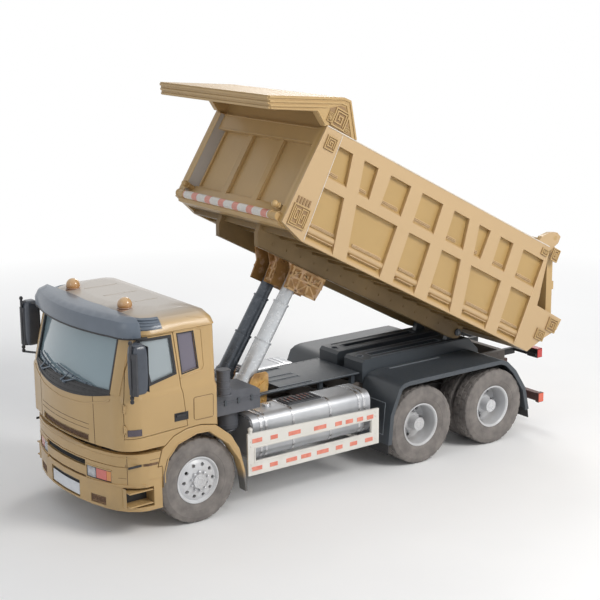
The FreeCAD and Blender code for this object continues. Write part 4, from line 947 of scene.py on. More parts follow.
union.hoop(0, 0.018, 0.014, 0.028, at(0.525, 1.252, 1.307), (0.82, 0.45, 0.35), 20)
union.make("chassis", ochre_paint, "ochre_paint", 0.003)

# Heads of the cylinders under the body: cast ochre boxes with upright ribs, slanted
# braces and bosses, bolted to the floor's beams; the ribs, braces and bolts are painted
# a lighter ochre as a highlight.
TIP = radians(27.7)
TAIL_Y, FLOOR_Z = 5.567, 1.601


def on_bed(x, s, h):
    """Point x across, s forward of the tail corner and h above the floor, body raised."""
    y, z = TAIL_Y - s - PIVOT_Y, FLOOR_Z + h - PIVOT_Z
    return at(x, PIVOT_Y + y * cos(TIP) + z * sin(TIP),
              PIVOT_Z - y * sin(TIP) + z * cos(TIP))


def bed_box(stock, x0, x1, s0, s1, h0, h1):
    ends = ((s0, h0), (s1, h0), (s1, h1), (s0, h1))
    return stock.skin([[on_bed(x, s, h) for s, h in ends] for x in (x0, x1)])


def bed_flank(m, x):
    """The surface(s, h, lift) of the body at x on side m, facing outwards."""
    return lambda s, h, lift: on_bed(m * (x + lift), s, h)


heads, HEAD_FRONT = Stock("hoist_head_ribs"), 3.831
down, ahead = on_bed(0, 0, -1) - on_bed(0, 0, 0), on_bed(0, 1, 0) - on_bed(0, 0, 0)
for m in (1, -1):
    cheek, side = bed_flank(m, 0.403), Vector((m, 0, 0))
    ribs = [(3.262, -0.236, 3.852, -0.236, 0.026, 0.018),
            (3.262, -0.362, 3.852, -0.362, 0.026, 0.018),
            (3.296, -0.526, 3.846, -0.526, 0.026, 0.005)]
    for s in (3.3, 3.49, 3.66, 3.82):
        ribs += [(s, -0.225, s + 0.006, -0.374, 0.034, 0.016),
                 (s, -0.374, s + 0.006, -0.53, 0.034, 0.005)]
    for s0, s1 in ((3.3, 3.49), (3.66, 3.49), (3.66, 3.82)):
        ribs += [(s0, -0.24, s1, -0.37, 0.018, 0.014), (s1, -0.374, s0, -0.53, 0.018, 0.005)]
    for s0, h0, s1, h1, wide, thick in ribs:
        heads.bar([cheek(s0, h0, 0), cheek(s1, h1, 0)], side, wide, thick)
    heads.bolts([cheek(s, -0.298, 0) for s in (3.36, 3.42, 3.56, 3.6, 3.73, 3.77)], side,
                0.022, 0.014)
    for s in (3.28, 3.44, 3.8, 3.95):
        heads.bolts([on_bed(m * x, s, -0.013) for x in (0.112, 0.35)], down * 0.1, 0.016, 0.012)
heads.bar([on_bed(0, HEAD_FRONT, -0.03), on_bed(0, HEAD_FRONT, -0.5)], ahead, 0.03, 0.014)
for h in (-0.17, -0.34, -0.49):
    heads.bar([on_bed(-0.072, HEAD_FRONT, h), on_bed(0.072, HEAD_FRONT, h)], ahead, 0.026, 0.014)
for h in (-0.1, -0.255, -0.415):
    heads.bolts([on_bed(x, HEAD_FRONT, h) for x in (-0.045, 0.045)], ahead, 0.014, 0.012)
heads.make("bed", rib_highlight_paint, "ochre_paint", 0.003)

# Body floor: steel plate on cross members and two long beams, sprayed olive-brown and made
# darker as painted shade underneath, and scoured to bare steel on top where the loads slide.
f = Finish("body_floor_paint")
tilted = f.y * sin(TIP) + f.z * cos(TIP)
height = tilted - ((AXLE_Y + PIVOT_Y) * sin(TIP) + PIVOT_Z * cos(TIP))
drawn = f.flow.node("Mapping", values={"Vector": f.place, "Scale": (9, 0.8, 0.8)})
scrape = f.flow.node("TexNoise", values={"Vector": drawn, "Scale": 5.0, "Detail": 5.0})
on_top = height.clip(0.198, 0.2) * scrape.clip(0.35, 0.6)
# Dark olive-brown: partly the paint's own colour, partly painted shade of the underside.
under = f.noise(1.3, 5).clip(0.3, 0.7).mixed(tone(112, 90, 56), tone(146, 120, 78))
floor_paint = f.fill(
    Base_Color=on_top.mixed(under, tone(150, 145, 138)), Roughness=scrape * 0.3 + 0.35,
    Metallic=on_top * 0.5, Normal=f.bump(scrape, 0.002, 0.4))
dress("body_floor", floor_paint, 0.005)
tan_body = coat("tan_body", (188, 157, 107), rough=0.46, gloss=0.15, dust=0.0, patch=0.09)
grooves, bolts = Stock("floor_grooves"), Stock("beam_bolts")
for x in (-1.02, -0.86, -0.7, -0.3, -0.1, 0.1, 0.3, 0.7, 0.86, 1.02):
    for i in range(15):
        s0 = 0.15 + i * 0.296
        bed_box(grooves, x - 0.012, x + 0.012, s0, s0 + 0.216, 0.05, 0.061)
for m in (1, -1):
    bolts.bolts([on_bed(m * 0.489, 1.1 + 0.25 * k, -0.1) for k in range(14)], (m, 0, 0),
                0.014, 0.01)
    bed_box(grooves, m * 0.412, m * 0.505, 1.0, 4.56, -0.2158, -0.213)
grooves.make("bed", floor_paint, "tan_body", 0.002)
bolts.make("bed", floor_paint, "tan_body")

# Body sides: ribbed steel walls. Each cell has a sloped dirt shedder with a folded double
# edge, and cast plates with square spirals are welded to the corner posts. Light and shade
# are painted on: the ribs lighter, the cells darker, the folds and the top rail in paler
# tones as highlights.
def rib_light_cell_shade(f, base):
    """Painted light and shade: lighter on the ribs, which stand further out than the cells
    between them, and darker in the cells.
    """
    return (f.x * f.x).clip(1.205 ** 2, 1.238 ** 2).mixed(base, tone(192, 163, 122))


# The darker base tone is painted shade in the cells; the ribs are painted lighter.
side_tan = coat("side_tan", (180, 149, 96), rough=0.44, gloss=0.15, dust=0.0, patch=0.07,
                over=rib_light_cell_shade)
# Painted highlight: the folded edges in a lighter tan.
fold_highlight = coat("fold_highlight", (206, 178, 138), rough=0.4, gloss=0.2, dust=0.0, patch=0.05)
# Painted highlight: a pale strip along the top rail and the upright near the front.
rail_highlight = coat("rail_highlight_paint", (218, 208, 194), rough=0.42, gloss=0.1, dust=0.0, patch=0.1)
wall_dark = coat("spiral_ground", (150, 120, 82), rough=0.5, gloss=0.1, dust=0.0, patch=0.12)
lower = ((0.32, 0.7), (0.98, 1.44), (1.76, 2.15), (2.5, 2.82), (3.16, 3.7), (4.02, 4.46))
upper = ((0.4, 0.72), (1.02, 1.3), (1.58, 1.78), (2.04, 2.22), (2.56, 2.88), (3.2, 3.52),
         (3.8, 3.96), (4.32, 4.5))
folds = [(lower, ((0.118, 0.05), (0.232, 0.012), (0.246, 0.02), (0.262, 0.01))),
         (upper, ((0.905, 0.014), (0.925, 0.02), (0.945, 0.01)))]
plates = ((4.57, 4.745, 1.165, 1.345, 1, 0.01), (4.56, 4.84, 0.12, 0.4, 2, 0.01),
          (0.33, 0.47, 1.34, 1.44, 1, 0.01), (0.105, 0.255, 1.33, 1.52, 1, 0.01),
          (-0.38, -0.18, 0.4, 0.6, 1, 0.014), (-0.205, -0.02, 0.215, 0.375, 1, 0.014))
for m, side in ((1, "left"), (-1, "right")):
    dress("body_side_" + side, side_tan, 0.01)
    wall = bed_flank(m, HALF_WIDTH)
    lips, relief, ground, rail = (Stock("side_%s_%s" % (name, side)) for name in (
        "folds", "spirals", "plates", "rail_edge"))
    for cells, bars in folds:
        for s0, s1 in cells:
            for h, t in bars:
                lips.lay(bed_flank(m, 1.19), [(s0, h), (s1, h)], 0.01, t)
    rail.lay(wall, [(0.335, 1.494), (4.798, 1.434)], 0.014, 0.006)
    rail.lay(wall, [(4.492, 0.02), (4.505, 0.6), (4.515, 1.1), (4.524, 1.42)], 0.01, 0.005)
    lips.lay(wall, [(0.35, 1.33), (0.31, 0.02)], 0.01, 0.005)
    for s0, s1, h0, h1, n, rise in plates:
        ground.pad(wall, s0, s1, h0, h1, rise, 2)
        spirals(relief, sunk(wall, -rise), s0 + 0.01, s1 - 0.01, h0 + 0.01, h1 - 0.01, n,
                0.014, 0.012)
    for k in range(5):
        ground.pad(wall, 4.6 + 0.048 * k, 4.628 + 0.048 * k, 0.415, 0.5, 0.012, 1)
    lips.make("bed", fold_highlight, "tan_body", 0.003)
    rail.make("bed", rail_highlight, "tan_body", 0.002)
    ground.make("bed", wall_dark, "tan_body", 0.004)
    relief.make("bed", tan_body, "tan_body", 0.003)

# Front wall of the body: three pressed panels between posts whose slanted faces are
# light grey, and a round bar at its foot wrapped in red and white reflective tape.
dress("body_front_wall", tan_body, 0.012)


def lean(h):
    return 4.905 - (h - 0.113) * 0.07774


def on_wall(depth):
    return lambda x, h, lift: on_bed(x, lean(h) - depth + lift, h)


def post_slant(m):
    """The slanted face of the post on side m; a runs over it, from 0 inside to 1."""
    return lambda a, h, lift: on_bed(m * (1.03 + 0.09 * a - 0.857 * lift),
                                     lean(h) - 0.15 + 0.15 * a + 0.514 * lift, h)


grey_strip = coat("grey_strip", (176, 168, 158), rough=0.42, gloss=0.1, dust=0.0)
strips, panels = Stock("post_strips"), Stock("wall_panels")
for m in (1, -1):
    strips.pad(post_slant(m), 0.04, 0.96, 0.19, 1.395, 0.003, 1, 1)
    for x, h0, h1, wide, thick in ((0.985, 0.36, 1.17, 0.03, 0.03),
                                   (0.292, 0.35, 1.18, 0.014, 0.036),
                                   (0.408, 0.35, 1.18, 0.014, 0.036)):
        panels.lay(on_wall(0.14), [(m * x, h0), (m * x, h1)], wide, thick)
for h in (1.2, 1.395):
    panels.lay(on_wall(0.05), [(-1.02, h), (1.02, h)], 0.012, 0.006)
strips.make("bed", grey_strip, "tan_body", 0.002)
panels.make("bed", tan_body, "tan_body", 0.004)
f = Finish("reflective_tape")
run, weave = f.x * 3.1 + 20.0, f.noise(30, 3)
band, fleck = run.math("FRACT", run).clip(0.6, 0.63), weave.clip(0.2, 0.8)
tape_paint = f.fill(
    Base_Color=band.mixed(fleck.mixed(tone(206, 202, 196), tone(226, 222, 216)),
                          fleck.mixed(tone(206, 128, 112), tone(222, 150, 134))),
    Roughness=weave * 0.1 + 0.35, Coat_Weight=0.3)
tape, knobs = Stock("reflective_tape"), Stock("bar_knobs")
BAR_S, BAR_H, across = 4.922, 0.165, Vector((1, 0, 0))
tape.hoop(-0.985, 0.985, 0.05, 0.0535, on_bed(0, BAR_S, BAR_H), across, 40)
tape.make("bed", tape_paint, "red_lens")
for m in (1, -1):
    for x in (1.15, 1.02):
        knobs.lathe([(-0.016, 0.051), (-0.012, 0.058), (0.012, 0.058), (0.016, 0.051)],
                    on_bed(m * x, BAR_S, BAR_H), across, 40)
    knobs.lathe([(0.0, 0.034), (0.0, 0.046), (0.018, 0.046), (0.022, 0.034)],
                on_bed(m * 1.05, 4.9, 0.296), ahead, 32)
knobs.make("bed", tan_body, "tan_body", 0.003)

# Canopy: folded sheet over the cab with three stepped mouldings round its edge and a
# triangular web at each side filled with square spirals.
dress("body_canopy", tan_body, 0.012)
steps, ground, relief = Stock("canopy_mouldings"), Stock("canopy_webs"), Stock("canopy_spirals")
def nose(x, b, lift):
    """The front face of the canopy; b runs up it from 0 to 1."""
    return on_bed(x, 5.69 + 0.1 * b + 0.814 * lift, 1.26 + 0.14 * b - 0.581 * lift)


for b in (0.12, 0.46, 0.82):
    steps.lay(nose, [(-1.248, b), (1.248, b)], 0.03, 0.016)
for m in (1, -1):
    wall = bed_flank(m, HALF_WIDTH)
    for path, wide in (([(5.77, 1.386), (4.718, 1.828), (4.612, 1.838), (4.312, 1.452)], 0.026),
                       ([(5.742, 1.343), (4.728, 1.77), (4.64, 1.778), (4.388, 1.452)], 0.026),
                       ([(5.712, 1.302), (5.03, 1.59), (4.905, 1.64)], 0.026),
                       ([(5.69, 1.275), (5.035, 1.54), (4.85, 1.432)], 0.02)):
        steps.lay(wall, path, wide, 0.014)
    web = ((4.87, 1.64), (4.722, 1.738), (4.65, 1.742), (4.42, 1.452), (4.78, 1.446))
    ground.plate([wall(a, b, -0.003) for a, b in web], (m * 0.009, 0, 0))
    for s0, s1, h0, h1, wide, thick in ((4.56, 4.77, 1.47, 1.69, 0.016, 0.014),
                                        (4.784, 4.85, 1.49, 1.6, 0.009, 0.01),
                                        (4.48, 4.548, 1.462, 1.53, 0.008, 0.01)):
        spirals(relief, sunk(wall, -0.006), s0, s1, h0, h1, 1, wide, thick)
steps.make("bed", tan_body, "tan_body", 0.005)
ground.make("bed", wall_dark, "tan_body", 0.002)
relief.make("bed", tan_body, "tan_body", 0.003)

# Tailgate: a ribbed steel door on two pins at its top, with a cap on each pin, raised
# frames on its inner face and a safety hook low down on each side.
dress("tailgate", tan_body, 0.008)
edge, hooks = Stock("gate_ribs"), Stock("gate_hooks")
inner = face(at(0, 6.02, 0), (-1, 0, 0), UP)
for x in (-0.875, -0.325, 0.265, 0.815):
    for z in (1.66, 2.22):
        edge.edge(inner, x - 0.17, x + 0.17, z, z + 0.34, 0.014, 0.008)
for m in (1, -1):
    hooks.lathe([(0, 0.001), (0, 0.04), (0.012, 0.036), (0.016, 0.001)],
                at(m * 1.242, 6.04, 2.86), (m, 0, 0), 24)
    hooks.box((m * 1.06, 6.11, 1.535), (m * 1.12, 6.135, 1.66))
    hooks.rod(at(m * 1.09, 6.12, 1.6), at(m * 1.09, 6.16, 1.585), 0.014)
edge.make("tailgate", tan_body, "tan_body", 0.003)
hooks.make("tailgate", tan_body, "tan_body", 0.004)

# Cab: pressed steel shell in tan with a grey roof, a folded shoulder below the windows
# and a lip round the roof. Grooves mark the front hatch and the flap behind the door.
def roof_grey(f, base):
    return f.z.clip(2.6, 2.715).mixed(base, tone(182, 174, 164))


cab_paint = coat("cab_paint", TAN, over=roof_grey)
dress("cab_shell", cab_paint, 0.006)
# Height, front, half width, rear, and the radii of the front and rear corners.
CAB = [(1.13, -1.235, 1.25, 0.27, 0.3, 0.07), (1.735, -1.235, 1.25, 0.27, 0.3, 0.07),
       (1.8, -1.207, 1.222, 0.262, 0.29, 0.07), (2.5, -1.041, 1.21, 0.252, 0.285, 0.07),
       (2.514, -1.036, 1.226, 0.264, 0.285, 0.08), (2.59, -1.01, 1.2, 0.245, 0.28, 0.09),
       (2.67, -0.935, 1.13, 0.19, 0.26, 0.12), (2.725, -0.815, 1.01, 0.07, 0.24, 0.15)]
BOW, CAB_MIDDLE = 0.145, at(0, -0.4, 1.9)


def cab_ring(z):
    k = next(i for i in range(7) if z <= CAB[i + 1][0] or i == 6)
    t = (z - CAB[k][0]) / (CAB[k + 1][0] - CAB[k][0])
    return [p + (q - p) * t for p, q in zip(CAB[k][1:], CAB[k + 1][1:])]


def proud(skin, a, b, lift):
    """Point lift above skin(a, b), square to it and away from the middle of the cab."""
    p, d = skin(a, b), 0.002
    out = (skin(a + d, b) - skin(a - d, b)).cross(skin(a, b + d) - skin(a, b - d)).normalized()
    return p + (out if out.dot(p - CAB_MIDDLE) > 0 else -out) * lift


def on_front(x, z, lift):
    def skin(x, z):
        front, wide, rear, r, rr = cab_ring(z)
        flat, ax = wide - r, abs(x)
        if ax <= flat:
            return at(x, front + BOW * (x / flat) ** 2, z)
        a = asin(min((ax - flat) / r, 0.9995))
        return at(x, front + BOW + r - r * cos(a), z)
    return proud(skin, x, z, lift)


def on_side(s):
    def skin(y, z):
        front, wide, rear, r, rr = cab_ring(z)
        if y < front + BOW + r:
            a = acos(min(max((front + BOW + r - y) / r, 0.0), 0.999))
            return at(s * (wide - r + r * sin(a)), y, z)
        if y > rear - rr:
            a = asin(min((y - rear + rr) / rr, 0.999))
            return at(s * (wide - rr + rr * cos(a)), y, z)
        return at(s * wide, y, z)
    return lambda a, b, lift: proud(skin, a, b, lift)


grooves, rims = Stock("cab_grooves"), Stock("cab_rims")
for z in (1.3, 1.362):
    grooves.lay(on_front, [(-0.64, z), (0.6, z)], 0.006, 0.0008)
grooves.edge(on_front, -0.59, 0.59, 1.142, 1.23, 0.006, 0.0008)
rims.lay(on_front, [(-0.98, 1.74), (-0.9, 1.7), (-0.5, 1.604), (0.0, 1.574),
                    (0.5, 1.604), (0.9, 1.7), (0.98, 1.74)], 0.022, 0.006)
flap = [(-0.08, 1.372), (-0.06, 1.358), (0.165, 1.358), (0.182, 1.375), (0.187, 1.63),
        (0.17, 1.648), (-0.075, 1.648), (-0.094, 1.63), (-0.097, 1.39)]
quarter = [(-0.327, 2.5), (-0.02, 2.5), (0.06, 2.47), (0.086, 2.01), (0.055, 1.96),
           (-0.25, 1.912)]
for s in (1, -1):
    near, side = half(on_front, s), on_side(s)
    grooves.lay(near, [(0.7, 1.132), (0.69, 1.73)], 0.007, 0.0008)
    grooves.lay(side, flap, 0.006, 0.0008, loop=True)
    rims.lay(side, quarter, 0.022, 0.007)
    rims.pad(side, -0.088, 0.176, 1.368, 1.638, 0.006, 6)
    rims.pad(near, 0.945, 1.092, 1.8, 2.492, 0.012, 6, 6)
    rims.lay(side, [(-0.78, 2.52), (0.17, 2.52)], 0.014, 0.006)
    rims.lay(side, [(-0.11, 2.64), (0.1, 2.6)], 0.01, 0.003)
for x in (-0.5, 0.0, 0.5):
    rims.lay(level(2.748), [(x, -0.58), (x, -0.12)], 0.03, 0.004)
grooves.make("cab", seam_shadow, "tan_paint")
rims.make("cab", cab_paint, "tan_paint", 0.003)

# Windows: green-blue laminated screen and tempered panes, bedded in black rubber; the
# quarter light behind the door is a dark blind panel.
def pane_glass(name, colour, alpha):
    f = Finish(name)
    tint = f.z.clip(1.75, 2.5).mixed(shade(colour, 1.06), shade(colour, 0.9))
    return f.fill(Base_Color=f.noise(0.8, 2).clip(0.35, 0.65).mixed(tint, shade(colour, 1.03)),
                  Roughness=0.09, Alpha=alpha, Coat_Weight=0.5, Coat_Roughness=0.04)


dress("windscreen", pane_glass("screen_glass", tone(142, 162, 170), 0.92), 0)
dress("cab_windows", pane_glass("blind_glass", tone(104, 98, 112), 0.98), 0)
door_glass = pane_glass("door_glass", tone(158, 168, 172), 0.9)


def crescent(x, b, lift):
    """The cowl under the screen on the cab's front; b runs down it from 0 to 1."""
    return on_front(x, 1.842 - b * (0.055 + 0.115 * (1 - (x / 0.96) ** 2)), lift)


seals, cowl = Stock("window_seals"), Stock("screen_cowl")
seals.lay(on_front, [(-0.945, 1.806), (0.945, 1.806), (0.93, 2.486), (-0.93, 2.486)],
          0.03, 0.016, loop=True)
for s in (1, -1):
    seals.lay(on_side(s), [(-0.283, 2.465), (-0.056, 2.464), (0.001, 1.998), (-0.229, 1.961)],
              0.014, 0.003, loop=True)
seals.edge(face(at(0, 0.262, 0), (-1, 0, 0), UP), -0.43, 0.43, 1.99, 2.39, 0.026, 0.006)
cowl.pad(crescent, -0.96, 0.96, 0.0, 1.0, 0.01, 30, 6)
cowl.lay(crescent, [(-0.9, 0.82), (0.9, 0.82)], 0.01, 0.016)
for k in range(17):
    x = -0.8 + 0.1 * k
    for row in (0.3, 0.42, 0.54):
        cowl.lay(crescent, [(x - 0.03, row), (x + 0.03, row)], 0.005, 0.014)
seals.make("cab", black_trim, "dark_plastic", 0.001)
cowl.make("cab", black_trim, "dark_plastic", 0.002)

# Front grille: brown woven mesh in a black-edged slot below the hatch, its bars
# crossing on a slant.
dress("front_mesh", brown_mesh, 0)
weave = Stock("front_mesh_bars")
for k in range(58):
    x = -0.57 + 0.02 * k
    for slant in (0.009, -0.009):
        weave.lay(sunk(on_front, 0.022), [(x - slant, 1.152), (x + slant, 1.22)], 0.004, 0.005)
for z in (1.17, 1.186, 1.202):
    weave.lay(sunk(on_front, 0.02), [(-0.576, z), (0.576, z)], 0.004, 0.006)
weave.make("cab", brown_mesh, "brown_mesh")

# Sun visor: a moulded slate-blue hood over the screen with a black rubber lower edge
# and a louvred vent behind each end.
visor_paint = mottled("visor_paint", (1.2, 4), (88, 98, 110), (106, 116, 128), 0.28,
                      (40, 2, 0.15), (40, 2, 0.0006), Coat_Weight=0.25)
dress("visor", visor_paint, 0.016)


def visor_edge(drop):
    """Points round the visor at its lower edge, from the right end to the left."""
    front, wide, r = -1.16 + drop, 1.262 - drop, 0.3
    flat = wide - r
    run = [(flat * k / 8, front + BOW * (k / 8) ** 2) for k in range(8)]
    for k in range(11):
        a = pi / 2 * k / 10
        run.append((flat + r * sin(a), front + BOW + r - r * cos(a)))
    return [(-x, y) for x, y in run[:0:-1]] + run


edge, vents = Stock("visor_edge"), Stock("roof_vents")
line = [at(x, y, 2.492) for x, y in visor_edge(0.006)]
ends = [line[0]] + line + [line[-1]]
facing = [(after - before).cross(Vector(UP)) for before, after in zip(ends, ends[2:])]
edge.bar(line, facing, 0.022, 0.009, sink=0.02)
edge.make("cab", black_trim, "dark_plastic", 0.002)
for s in (1, -1):
    side = on_side(s)
    vents.pad(side, -0.775, -0.48, 2.56, 2.68, 0.008, 3, 3)
    for k in range(4):
        z = 2.576 + 0.028 * k
        vents.lay(side, [(-0.765, z), (-0.49, z)], 0.014, 0.02)
vents.make("cab", visor_paint, "visor_paint", 0.003)

# Beacons: amber domes on ringed bases, screwed to the roof behind the hood of the
# screen.
f = Finish("beacon_amber")
glass = f.z.clip(2.76, 2.86).mixed(tone(186, 136, 84), tone(206, 170, 124))
beacon_amber = f.fill(Base_Color=f.z.clip(2.735, 2.76).mixed(tone(120, 78, 48), glass),
                      Roughness=f.noise(20) * 0.1 + 0.16, Coat_Weight=0.6)
dress("beacons", beacon_amber, 0.004)
collars = Stock("beacon_collars")
pink_base = coat("beacon_base", (196, 160, 136), rough=0.4, dust=0.0)
for x in (0.66, -0.66):
    for z, r, tall in ((2.7, 0.098, 0.01), (2.722, 0.095, 0.006), (2.742, 0.086, 0.005)):
        collars.hoop(-tall, tall, r - 0.012, r, at(x, -0.66, z), UP)
collars.make("cab", pink_base, "amber_lens", 0.002)

# Wipers: stamped arms sprung on two spindles, with a link rod, claw frames and rubber
# blades that rest on the screen.
wiper_steel = mottled("wiper_steel", (20, 3), (78, 90, 102), (112, 124, 136), 0.35,
                      (60, 3, 0.2), Metallic=0.3)
claws = Stock("wiper_arms")
for x in (-0.44, 0.22):
    blade = [(x - 0.4 + 0.092 * k, 1.945 - 0.011 * k) for k in range(10)]
    claws.lay(sunk(on_front, -0.004), blade, 0.01, 0.014)
    claws.lay(sunk(on_front, -0.026), blade[1:9], 0.016, 0.008)
    for a, b in blade[1:9:2]:
        claws.lay(sunk(on_front, -0.012), [(a, b), (a + 0.05, b - 0.01)], 0.014, 0.018)
    for start, end in (((x - 0.17, 1.795), blade[4]), ((x - 0.11, 1.785), blade[6])):
        claws.lay(sunk(on_front, -0.03), [start, end], 0.016, 0.01)
        claws.rod(on_front(*start, 0.0), on_front(*start, 0.043), 0.022, 20, 0.016)
    claws.rod(on_front(*blade[5], 0.02), on_front(*blade[5], 0.044), 0.016, 16)
claws.make("cab", wiper_steel, "dark_plastic", 0.001, stands_for=("wipers",))

# Doors: hollow pressings on hidden hinges, with a rubber-sealed drop glass, a black
# pull handle in a dished plate and a dark side marker low at the front.
marker_plum = mottled("marker_plum", (8, 3), (64, 58, 66), (84, 74, 84), 0.25, Coat_Weight=0.5)
door_paint = coat("door_paint", TAN, over=roof_grey)
for s, name in ((1, "left"), (-1, "right")):
    dress("door_" + name, door_paint, 0.006)
    dress("door_glass_" + name, door_glass, 0)
    side, body = on_side(s), "door_" + name
    seal, pulls, marks, folds = (Stock("door_%s_%s" % (part, name)) for part in (
        "seal", "handle", "marker", "folds"))
    seal.lay(side, [(-0.784, 2.458), (-0.379, 2.453), (-0.321, 1.989), (-0.668, 1.912)],
             0.034, 0.005, loop=True)
    pulls.pad(side, -0.369, -0.174, 1.396, 1.498, 0.003, 2)
    pulls.edge(side, -0.362, -0.181, 1.402, 1.492, 0.01, 0.008)
    pulls.pad(sunk(side, -0.014), -0.35, -0.222, 1.45, 1.478, 0.01, 2, 1, sink=0.014)
    pulls.lathe([(-0.004, 0.001), (-0.004, 0.012), (0.006, 0.012), (0.008, 0.009), (0.008, 0.001)],
                *bearing(side, -0.202, 1.43), 20)
    marks.pad(side, -0.975, -0.82, 1.318, 1.396, 0.008, 5)
    marks.edge(side, -0.971, -0.824, 1.322, 1.392, 0.008, 0.012)
    folds.lay(side, [(-1.06, 1.3), (-0.56, 1.318), (-0.24, 1.334)], 0.01, 0.003)
    seal.make(body, black_trim, "dark_plastic", 0.001)
    pulls.make(body, black_trim, "dark_plastic", 0.002)
    marks.make(body, marker_plum, "dark_plastic", 0.002)
    folds.make(body, door_paint, "tan_paint", 0.002)

# Mirrors: tall rounded housings in dark plastic on steel arms, each with a flat glass
# above a small wide-angle one in a rubber rim, clamped to a post by plastic collars.
mirror_glass = mottled("mirror_glass", (2, 3), (196, 204, 212), (214, 220, 226), 0.02,
                       (8, 3, 0.03), Metallic=1.0)
mirror_shell = mottled("mirror_casing", (5, 3), (58, 64, 74), (72, 78, 88), 0.25,
                       (60, 3, 0.15), Coat_Weight=0.2)


def pillow(rows, cols, hard):
    """Rings of points on a unit ball squared up by the power hard."""
    for i in range(1, rows):
        t = pi * (i / rows - 0.5)
        ring = []
        for j in range(cols):
            u = 2 * pi * j / cols
            d = Vector((cos(t) * cos(u), cos(t) * sin(u), sin(t)))
            ring.append(d / sum(abs(v) ** hard for v in d) ** (1 / hard))
        yield ring


MIRROR_X, MIRROR_Y, MIRROR_Z = 1.39, -0.925, 2.185
for s, name in ((1, "left"), (-1, "right")):
    dress("mirror_" + name, dark_plastic, 0.004)
    shell, glass, gaiters = (Stock(part + name) for part in (
        "mirror_housing_", "mirror_glass_", "mirror_gaiters_"))
    shell.skin([[at(s * MIRROR_X + 0.102 * d.x, MIRROR_Y + 0.095 * min(d.y, 0.92),
                    MIRROR_Z + 0.3 * d.z) for d in ring] for ring in pillow(40, 48, 5)])
    rear = face(at(s * MIRROR_X, MIRROR_Y + 0.087, 0), (-1, 0, 0), UP)
    for z0, z1 in ((2.08, 2.445), (1.925, 2.062)):
        glass.pad(rear, -0.082, 0.082, z0, z1, 0.004, 2)
    gaiters.edge(rear, -0.088, 0.088, 1.919, 2.451, 0.012, 0.008)
    gaiters.lay(rear, [(-0.088, 2.071), (0.088, 2.071)], 0.012, 0.008)
    for z in (1.812, 1.862, 2.515):
        gaiters.rod(at(s * 1.42, -1.03, z - 0.014), at(s * 1.42, -1.03, z + 0.014), 0.024, 20)
    shell.make("door_" + name, mirror_shell, "dark_plastic")
    glass.make("door_" + name, mirror_glass, "tank_metal")
    gaiters.make("door_" + name, black_trim, "dark_plastic", 0.002)

# Seats: two sprung seats on gaitered pedestals, foam pads in woven grey cloth with sewn
# channels, and a separate headrest on two rods.
f = Finish("seat_cloth")
warp, weft = (
    f.flow.node("TexWave", dict(BANDS, bands_direction=way),
                {"Vector": f.place, "Scale": 120.0, "Distortion": 1.0}) for way in "XZ")
threads = (warp * weft).clip(0.1, 0.8).mixed(tone(66, 65, 67), tone(98, 96, 96))
seat_cloth = f.fill(Base_Color=threads, Roughness=0.9, Normal=f.bump(warp + weft, 0.0012))


def cushion(stock, middle, half_size, tilt=0.0, channels=3):
    """A foam pad: rounded like a pillow, crowned on its broad faces, with sewn channels."""
    rings = []
    for ring in pillow(40, 40, 4.0):
        rings.append([])
        for d in ring:
            d.z *= 1 + 0.16 * (1 - d.x ** 2) * (1 - d.y ** 2)
            groove = abs(sin(pi * (d.x + 1) / 2 * channels))
            d.z *= 1 - 0.1 * exp(-(groove / 0.18) ** 2) * (1 - abs(d.y) ** 6)
            p = Vector((v * k for v, k in zip(d, half_size)))
            rings[-1].append(at(*middle) + Matrix.Rotation(tilt, 3, "X") @ p)
    return stock.skin(rings)


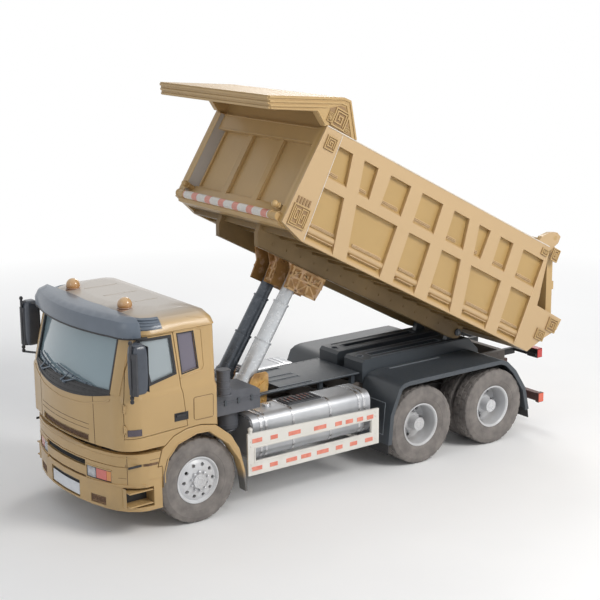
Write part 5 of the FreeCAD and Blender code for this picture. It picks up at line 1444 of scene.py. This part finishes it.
pads, bases = Stock("seat_pads"), Stock("seat_pedestals")
for m in (1, -1):
    x = m * 0.62
    cushion(pads, (x, -0.165, 1.54), (0.245, 0.25, 0.056))
    cushion(pads, (x, 0.1, 1.87), (0.235, 0.27, 0.05), radians(82))
    cushion(pads, (x, 0.15, 2.185), (0.14, 0.075, 0.045), radians(82), 1)
    bases.box((x - 0.19, -0.32, 1.186), (x + 0.19, 0.05, 1.225))
    for k in range(6):
        w, z = 0.165 - 0.01 * (k % 2), 1.235 + 0.042 * k
        bases.box((x - w, -0.3, z), (x + w, 0.03, z + 0.034))
    bases.box((x - 0.2, -0.35, 1.478), (x + 0.2, 0.07, 1.496))
    for dx in (-0.07, 0.07):
        bases.rod(at(x + dx, 0.134, 2.08), at(x + dx, 0.15, 2.16), 0.007, 10)
    for dx in (-0.225, 0.225):
        bases.rod(at(x + dx, 0.04, 1.52), at(x + dx, 0.09, 1.68), 0.016, 12)
seat = pads.make("cab", seat_cloth, "seat_cloth", smooth=60, stands_for=("seats",))
bases.make("cab", dark_plastic, "dark_plastic", 0.004)

# Dashboard: moulded dark plastic with a hooded dial panel and louvred vents, and a gear
# lever beside the driver's seat.
dress("dashboard", dark_plastic, 0.012)
dash, dials = Stock("dash_panel"), Stock("dash_dials")
panel = face(at(0.62, -0.842, 1.695), (-1, 0, 0), (0, -0.62, 0.78))
dash.pad(panel, -0.2, 0.2, -0.055, 0.045, 0.014, 6)
dash.lay(panel, [(-0.21, 0.05), (0.21, 0.05)], 0.02, 0.05)
for x in (-0.12, -0.03, 0.1):
    dials.lathe([(0.0, 0.001), (0.0, 0.042), (0.008, 0.042), (0.006, 0.036), (0.004, 0.001)],
                *bearing(panel, x, -0.005, 0.014), 32)
front = face(at(0, -0.8, 1.575), (-1, 0, 0), (0, 0.26, 0.966))
for x in (0.59, 0.27, -0.07, -0.23):
    dash.edge(front, x, x + 0.13, -0.03, 0.03, 0.008, 0.01)
    for b in (-0.015, 0.0, 0.015):
        dash.lay(front, [(x + 0.008, b), (x + 0.122, b)], 0.004, 0.008)
dash.rod(at(0.33, -0.52, 1.19), at(0.33, -0.56, 1.62), 0.01, 12)
dash.lathe([(0, 0.001), (0, 0.02), (0.03, 0.026), (0.05, 0.02), (0.055, 0.001)],
           at(0.33, -0.56, 1.61), (0, -0.1, 1), 20)
dash.lathe([(0, 0.075), (0, 0.09), (0.05, 0.05), (0.1, 0.02), (0.1, 0.01)],
           at(0.33, -0.52, 1.186), (0, -0.09, 1), 24)
dash.make("cab", dark_plastic, "dark_plastic", 0.002)
dials.make("cab", black_trim, "dark_plastic", 0.001)
